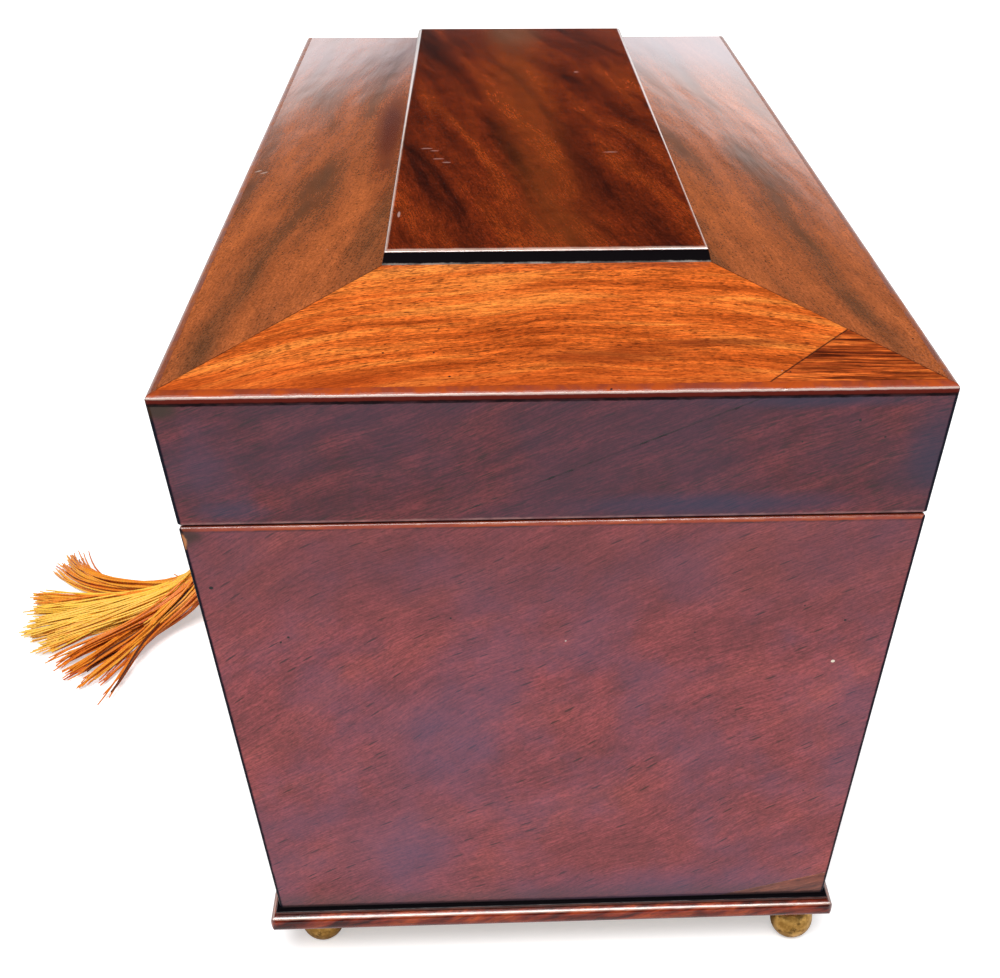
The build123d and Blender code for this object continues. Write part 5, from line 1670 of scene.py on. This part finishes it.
        height = self.maths("MULTIPLY_ADD", self.maths("SUBTRACT", top, floor), lift, floor)
        root = self.root_offset(share)
        place = self.vector("ADD", self.vector("SCALE", out, scale=radius), self.vector("SCALE", over, scale=swing))
        place = self.vector("ADD", self.vector("ADD", place, root), self.given["Centre"])
        place = self.vector("ADD", place, self.join(0.0, 0.0, height))
        thin = self.maths("MULTIPLY_ADD", self.maths("POWER", share, self.TIP_POWER), -self.TIP_THINNING, 1.0)
        thick = self.maths("MULTIPLY", self.given["Thread Radius"], thin)
        tint = self.mingle(-0.5, 0.5, salt=5, share=0.6)
        tint = self.maths("MULTIPLY_ADD", tint, self.TINT_RANGE, self.given["Tint"])
        odd = self.maths("LESS_THAN", self.random(0.0, 1.0, salt=8), self.ODD_SHARE)
        tint = self.maths("MULTIPLY_ADD", odd, -self.ODD_SHADE, tint)
        self.clothe(self.threads(), place, thick, tint, self.maths("DIVIDE", radius, MM))
        return self.tree

    def mingle(self, low: float, high: float, salt: int, share: float) -> bpy.types.NodeSocket:
        """Give each thread a random number that is mostly its lock's.

        Args:
            low: The least.
            high: The most.
            salt: What makes this number differ from the thread's others.
            share: How much of it is the lock's.

        Returns:
            The number.
        """
        own = self.random(low * (1 - share), high * (1 - share), salt + self.OWN_SALT)
        return self.maths("ADD", self.random(low * share, high * share, salt, lock=True), own)

    def root_offset(self, share: bpy.types.NodeSocket) -> bpy.types.NodeSocket:
        """Where in the neck a thread starts, which fades out along it.

        Args:
            share: How far along the thread a point is, from 0 to 1.

        Returns:
            The offset from the neck's middle.
        """
        turn = self.random(0.0, TURN, salt=6)
        away = self.maths("SQRT", self.random(0.0, 1.0, salt=7))
        away = self.maths("MULTIPLY", away, self.given["Neck Radius"])
        away = self.maths("MULTIPLY", away, self.maths("POWER", self.maths("SUBTRACT", 1.0, share), 2.0))
        direction = self.join(self.maths("COSINE", turn), self.maths("SINE", turn), 0.0)
        return self.vector("SCALE", direction, scale=away)

    def wrap(self) -> bpy.types.NodeTree:
        """Lay the threads side by side over the tassel's head, from the cord down to the bound neck.

        Returns:
            The finished tree.
        """
        share = self.add("GeometryNodeSplineParameter").outputs["Factor"]
        index = self.add("GeometryNodeCurveOfPoint").outputs["Curve Index"]
        turn = self.maths("DIVIDE", self.maths("MULTIPLY", index, TURN), self.given["Count"])
        jitter = self.random(-self.HEAD_JITTER, self.HEAD_JITTER, salt=1)
        turn = self.maths("ADD", turn, self.maths("MULTIPLY_ADD", share, self.HEAD_TWIST, jitter))
        arc = self.maths("MULTIPLY", share, math.pi)
        swell = self.maths("MULTIPLY", self.maths("SINE", arc), self.given["Reach"])
        base = self.maths("MULTIPLY_ADD", share, self.maths("SUBTRACT", self.given["Neck Radius"],
                                                            self.given["Spread"]), self.given["Spread"])
        radius = self.maths("ADD", base, swell)
        drop = self.maths("SUBTRACT", self.given["Neck Height"], self.given["Tip Height"])
        height = self.maths("MULTIPLY_ADD", share, drop, self.given["Tip Height"])
        place = self.join(self.maths("MULTIPLY", self.maths("COSINE", turn), radius),
                          self.maths("MULTIPLY", self.maths("SINE", turn), radius), height)
        place = self.vector("ADD", place, self.given["Centre"])
        thick = self.maths("MULTIPLY", self.given["Thread Radius"], self.random(0.85, 1.1, salt=2))
        tint = self.maths("MULTIPLY_ADD", self.random(-0.5, 0.5, salt=3), self.HEAD_TINT_RANGE, self.given["Tint"])
        along = self.maths("MULTIPLY_ADD", share, self.HEAD_LENGTH, self.HEAD_START)
        self.clothe(self.threads(), place, thick, tint, along)
        return self.tree


@dataclass(frozen=True)
class Bundle:
    """A bundle of the skirt's threads: where it heads, how wide it opens, how far it reaches and its tint.

    Its heading is in degrees from the front towards the left end, and the later it opens the nearer to its tips.
    """

    count: int
    heading: float
    spread: float
    reach: float
    tint: float
    height: float
    uneven: float = 0.12
    late: float = 1.0


@dataclass
class Tassel:
    """The silk tassel on the key: loop, cord, wrapped head and the skirt that lies spread on the table."""

    workshop: Workshop
    body: str = "case"
    neck: Triple = (-0.0076, -0.097, 0.022)
    neck_radius: float = 0.0038
    head_top: float = 0.036
    head_swell: float = 0.0029
    thread: float = 0.00034
    lock: int = 7
    root: float = 6.0
    wave: float = 0.0019
    first_seed: int = 11
    seed_step: int = 17
    head_count: int = 44
    head_seed: int = 5
    head_thread: float = 0.00048
    head_tint: float = 0.55
    binding_width: float = 0.00075
    binding_spacing: float = 0.0004
    binding_gap: float = 0.0001
    binding_length: float = 0.0029
    binding_turns: float = 4.6
    binding_sink: float = 0.0002
    binding_rise: float = 0.0026
    crown_radius: float = 0.0013
    crown_sink: float = 0.0004
    core_sink: float = 0.0002
    root_rings: tuple[tuple[float, float], ...] = ((-0.0002, 1.0), (0.0006, 0.6), (0.0024, 0.22))
    loop_radius: float = 0.0034
    loop_cord: float = 0.0018
    loop_centre: Triple = (0.0, -0.0783117, 0.1038593)
    cord_width: float = 0.0022
    route: tuple[Triple, ...] = (
        (0.0, -0.078, 0.0993),
        (-0.0009, -0.0806, 0.088),
        (-0.0032, -0.0856, 0.072),
        (-0.0059, -0.0916, 0.0575),
        (-0.0076, -0.0962, 0.047),
        (-0.0076, -0.097, 0.0362),
    )
    # Each bundle's tint is partly the silk's own colour and partly painted light and sheen, which vary with its
    # heading.
    bundles: tuple[Bundle, ...] = (
        Bundle(80, 31.5, 7.0, 0.073, 0.52, 0.003, 0.16, 1.5),
        Bundle(50, 9.0, 7.0, 0.066, 0.74, 0.0026, 0.16, 1.2),
        Bundle(110, -3.0, 11.0, 0.0635, 0.92, 0.0026, 0.14, 0.9),
        Bundle(76, -17.0, 8.0, 0.061, 0.82, 0.0022, 0.16, 0.7),
        Bundle(46, -33.0, 7.0, 0.059, 0.5, 0.002, 0.16, 0.5),
        Bundle(42, -46.0, 7.0, 0.057, 0.42, 0.0016, 0.18, 0.4),
        Bundle(5, -57.0, 3.0, 0.06, 0.3, 0.0015, 0.3, 0.4),
        Bundle(80, -4.0, 38.0, 0.03, 0.65, 0.008, 0.4, 0.8),
    )

    @property
    def foot(self) -> Triple:
        """The point of the table below the bound neck."""
        return (self.neck[0], self.neck[1], 0.0)

    def build(self) -> None:
        """Make the tassel's pieces: its skirt, head, loop and cord."""
        self.build_skirt()
        head = self.build_head()
        loop = self.build_loop()
        path = smooth_path(list(self.route))
        cord = Rope(self.cord_width).build(self.workshop, "tassel_cord_piece", path)
        self.workshop.add(cord, self.body, SILK, "tassel_cord")

    def grow(self, name: str, book: bpy.types.NodeTree, inputs: dict[str, object]) -> bpy.types.Mesh:
        """Run a thread tree once.

        Args:
            name: The result's name.
            book: The tree.
            inputs: Its named inputs.

        Returns:
            A plain mesh.
        """
        holder = put_in_scene(name, bpy.data.meshes.new(name))
        modifier = holder.modifiers.new("threads", "NODES")
        modifier.node_group = book
        for item in book.interface.items_tree:
            if item.in_out == "INPUT" and item.name in inputs:
                modifier[item.identifier] = inputs[item.name]
        graph = bpy.context.evaluated_depsgraph_get()
        mesh = bpy.data.meshes.new_from_object(holder.evaluated_get(graph), preserve_all_data_layers=True,
                                               depsgraph=graph)
        bpy.data.objects.remove(holder)
        return mesh

    def gather(self, name: str, meshes: list[bpy.types.Mesh]) -> bpy.types.Object:
        """Join meshes into one piece.

        Args:
            name: The piece's name.
            meshes: What it is made of.

        Returns:
            The piece.
        """
        work = bmesh.new()
        for mesh in meshes:
            work.from_mesh(mesh)
        whole = bpy.data.meshes.new(name)
        work.to_mesh(whole)
        work.free()
        whole.materials.append(self.workshop.finishes.get(SILK))
        return put_in_scene(name, whole)

    def build_skirt(self) -> None:
        """Spread the threads over the table."""
        book = ThreadBook("tassel_skirt_threads").spread()
        meshes = []
        for index, bundle in enumerate(self.bundles):
            meshes.append(self.grow(f"bundle_{index}", book, {
                "Count": bundle.count, "Seed": self.first_seed + self.seed_step * index,
                "Heading": math.radians(bundle.heading), "Spread": math.radians(bundle.spread),
                "Reach": bundle.reach, "Uneven": bundle.uneven,
                "Neck Radius": self.neck_radius, "Neck Height": self.neck[2], "Tip Height": bundle.height,
                "Centre": self.foot, "Thread Radius": self.thread, "Wave": self.wave,
                "Tint": bundle.tint, "Lock": self.lock, "Root": math.radians(self.root),
                "Late": bundle.late, "Finish": self.workshop.finishes.get(SILK),
            }))
        self.workshop.add(self.gather("tassel_skirt_piece", meshes), self.body, SILK, "tassel_skirt")

    def build_head(self) -> bpy.types.Object:
        """Wrap the head and bind its neck.

        Returns:
            The head.
        """
        book = ThreadBook("tassel_head_threads", steps=14, sides=6).wrap()
        threads = self.grow("head_threads", book, {
            "Count": self.head_count, "Seed": self.head_seed, "Reach": self.head_swell,
            "Spread": self.crown_radius, "Neck Radius": self.neck_radius,
            "Neck Height": self.neck[2] + self.binding_rise, "Tip Height": self.head_top - self.crown_sink,
            "Centre": self.foot, "Thread Radius": self.head_thread, "Tint": self.head_tint, "Lock": 1,
            "Finish": self.workshop.finishes.get(SILK),
        })
        rope = Rope(self.binding_width, plies=1, sides=6, spacing=self.binding_spacing)
        start = self.neck[2] - self.binding_sink
        steps = 139
        helix = []
        for index in range(steps + 1):
            share = index / steps
            angle = TURN * self.binding_turns * share
            height = start + self.binding_length * share
            helix.append(Vector(self.foot) + round_point(self.neck_radius + self.binding_gap, angle, height))
        binding = rope.build(self.workshop, "binding", helix)
        core = self.core()
        head = self.gather("tassel_head_piece", [threads, binding.data, core.data])
        bpy.data.objects.remove(binding)
        bpy.data.objects.remove(core)
        self.workshop.add(head, self.body, SILK, "tassel_head")
        return head

    def core(self) -> bpy.types.Object:
        """Make the plain core that fills the head and the root of the skirt.

        Returns:
            The core.
        """
        rings = []
        steps = sides = 24
        crown = self.head_top - self.crown_sink
        for index in range(steps + 1):
            share = index / steps
            swell = self.head_swell * math.sin(math.pi * share)
            radius = self.crown_radius + (self.neck_radius - self.crown_radius) * share + swell
            drop = crown - self.neck[2] - self.binding_rise
            rings.append((radius - self.core_sink, crown - drop * share))
        rings += [(self.neck_radius + out, self.neck[2] * share) for out, share in self.root_rings]
        verts = [Vector(self.foot) + round_point(radius, TURN * side / sides, height)
                 for radius, height in rings for side in range(sides)]
        faces: list[tuple[int, ...]] = []
        rope = Rope(sides=sides)
        rope.skin(faces, 0, len(rings), False)
        core = self.workshop.mesh("core", verts, faces, SILK)
        rope.mark(core, len(rings))
        return core

    def build_loop(self) -> bpy.types.Object:
        """Make the loop of cord round the neck of the key.

        Returns:
            The loop.
        """
        up = Vector((0.0, -math.sin(LEAN), math.cos(LEAN)))
        side = Vector((1.0, 0.0, 0.0))
        steps = 96
        path = []
        for index in range(steps + 1):
            angle = TURN * index / steps
            ring = side * math.cos(angle) + up * math.sin(angle)
            path.append(Vector(self.loop_centre) + ring * self.loop_radius)
        rope = Rope(self.loop_cord, pitch=0.0052)
        loop = rope.build(self.workshop, "tassel_loop_piece", path, closed=True)
        self.workshop.add(loop, self.body, SILK, "tassel_loop")
        return loop


# Studio


@dataclass
class Studio:
    """A white table, a broad overhead lamp, the room and the camera, which stands as the photograph's did."""

    image_width: float = 1000.0
    image_height: float = 978.0
    focal: float = 1615.4
    centre: tuple[float, float] = (568.3, 600.1)
    position: Triple = (0.4395, -0.0124, 0.2607)
    yaw: float = -3.057
    pitch: float = 29.881
    roll: float = 0.368
    sensor: float = 36.0
    table_size: float = 6.0
    horizon: float = 0.156
    toward_key: Triple = (0.5, -0.06, 0.866)
    key_angle: float = 34.0
    key_strength: float = 3.4
    fill: float = 0.35
    table_tone: float = 0.8
    table_tone_in_polish: float = 0.62
    table_glow: float = 0.45
    horizon_edge: float = 0.012
    low_room: float = 1.35
    high_room: float = 0.01

    def build(self) -> None:
        """Set up the camera, the table, the world and the lamp."""
        self.build_camera()
        self.build_table()
        self.build_world()
        self.build_key()
        bpy.context.scene.view_settings.view_transform = "Standard"

    def build_camera(self) -> None:
        """Place the camera."""
        yaw, pitch, roll = (math.radians(angle) for angle in (self.yaw, self.pitch, self.roll))
        forward = Vector((-math.cos(yaw) * math.cos(pitch), -math.sin(yaw) * math.cos(pitch), -math.sin(pitch)))
        level = Vector((-math.sin(yaw), math.cos(yaw), 0.0))
        upright = level.cross(forward)
        right = level * math.cos(roll) + upright * math.sin(roll)
        up = upright * math.cos(roll) - level * math.sin(roll)
        data = bpy.data.cameras.new("camera")
        data.sensor_width = self.sensor
        data.lens = self.focal * self.sensor / self.image_width
        data.shift_x = (self.image_width / 2 - self.centre[0]) / self.image_width
        data.shift_y = (self.centre[1] - self.image_height / 2) / self.image_width
        data.clip_start = 0.01
        camera = put_in_scene("camera", data)
        camera.matrix_world = Matrix((right, up, -forward)).transposed().to_4x4()
        camera.location = self.position
        bpy.context.scene.camera = camera

    def build_table(self) -> None:
        """Lay the white table, which keeps the caddy's shadow."""
        half = self.table_size
        corners = [(-half, -half, 0.0), (half, -half, 0.0), (half, half, 0.0), (-half, half, 0.0)]
        mesh = bpy.data.meshes.new("table")
        mesh.from_pydata(corners, [], [(0, 1, 2, 3)])
        surface = Surface("white_table")
        rays = surface.add("ShaderNodeLightPath").outputs
        darker = self.table_tone_in_polish - self.table_tone
        tone = surface.maths("MULTIPLY_ADD", rays["Is Glossy Ray"], darker, self.table_tone)
        matt = surface.add("ShaderNodeBsdfDiffuse", {"Color": surface.join(tone, tone, tone)})
        glow = surface.add("ShaderNodeEmission", {"Color": (1.0, 1.0, 1.0), "Strength": self.table_glow})
        both = surface.add("ShaderNodeAddShader", {0: matt.outputs[0], 1: glow.outputs[0]})
        seen = surface.maths("MAXIMUM", rays["Is Camera Ray"], rays["Is Transmission Ray"])
        mixed = surface.add("ShaderNodeMixShader", {"Fac": seen, 1: matt.outputs[0], 2: both.outputs[0]})
        surface.add("ShaderNodeOutputMaterial", {"Surface": mixed.outputs[0]})
        mesh.materials.append(surface.material)
        put_in_scene("table", mesh)

    def build_world(self) -> None:
        """Make the room: white to the camera, an even fill, and to reflections bright low down and dark above."""
        world = bpy.data.worlds.new("room")
        world.use_nodes = True
        book = Book(world.node_tree)
        rays = book.add("ShaderNodeLightPath").outputs
        height = book.split(book.add("ShaderNodeTexCoord").outputs["Generated"])[2]
        mirrored = book.step(height, self.horizon + self.horizon_edge, self.horizon - self.horizon_edge)
        mirrored = book.maths("MULTIPLY_ADD", mirrored, self.low_room, self.high_room)
        strength = book.maths("MULTIPLY", rays["Is Diffuse Ray"], self.fill)
        strength = book.maths("MULTIPLY_ADD", rays["Is Glossy Ray"], mirrored, strength)
        direct = book.maths("MAXIMUM", rays["Is Camera Ray"], rays["Is Transmission Ray"])
        strength = book.maths("MAXIMUM", strength, direct)
        glow = book.add("ShaderNodeBackground", {"Color": (0.98, 0.98, 1.0), "Strength": strength})
        book.add("ShaderNodeOutputWorld", {"Surface": glow.outputs[0]})
        bpy.context.scene.world = world

    def build_key(self) -> None:
        """Shine the broad overhead lamp, which lights the table evenly."""
        data = bpy.data.lights.new("overhead_lamp", "SUN")
        data.angle = math.radians(self.key_angle)
        data.energy = self.key_strength
        lamp = put_in_scene("overhead_lamp", data)
        lamp.rotation_euler = (-Vector(self.toward_key)).to_track_quat("-Z", "Y").to_euler()
        lamp.location = self.toward_key


def main() -> None:
    """Build the looks of the caddy, one sub-assembly after another."""
    logging.basicConfig(level=logging.INFO, format="%(message)s")
    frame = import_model()
    workshop = Workshop(frame)
    Studio().build()
    Tassel(workshop).build()
    Case(workshop).build()
    Lid(workshop).build()
    Fittings(workshop).build()
    Contents(workshop).build()


if __name__ == "__main__":
    main()
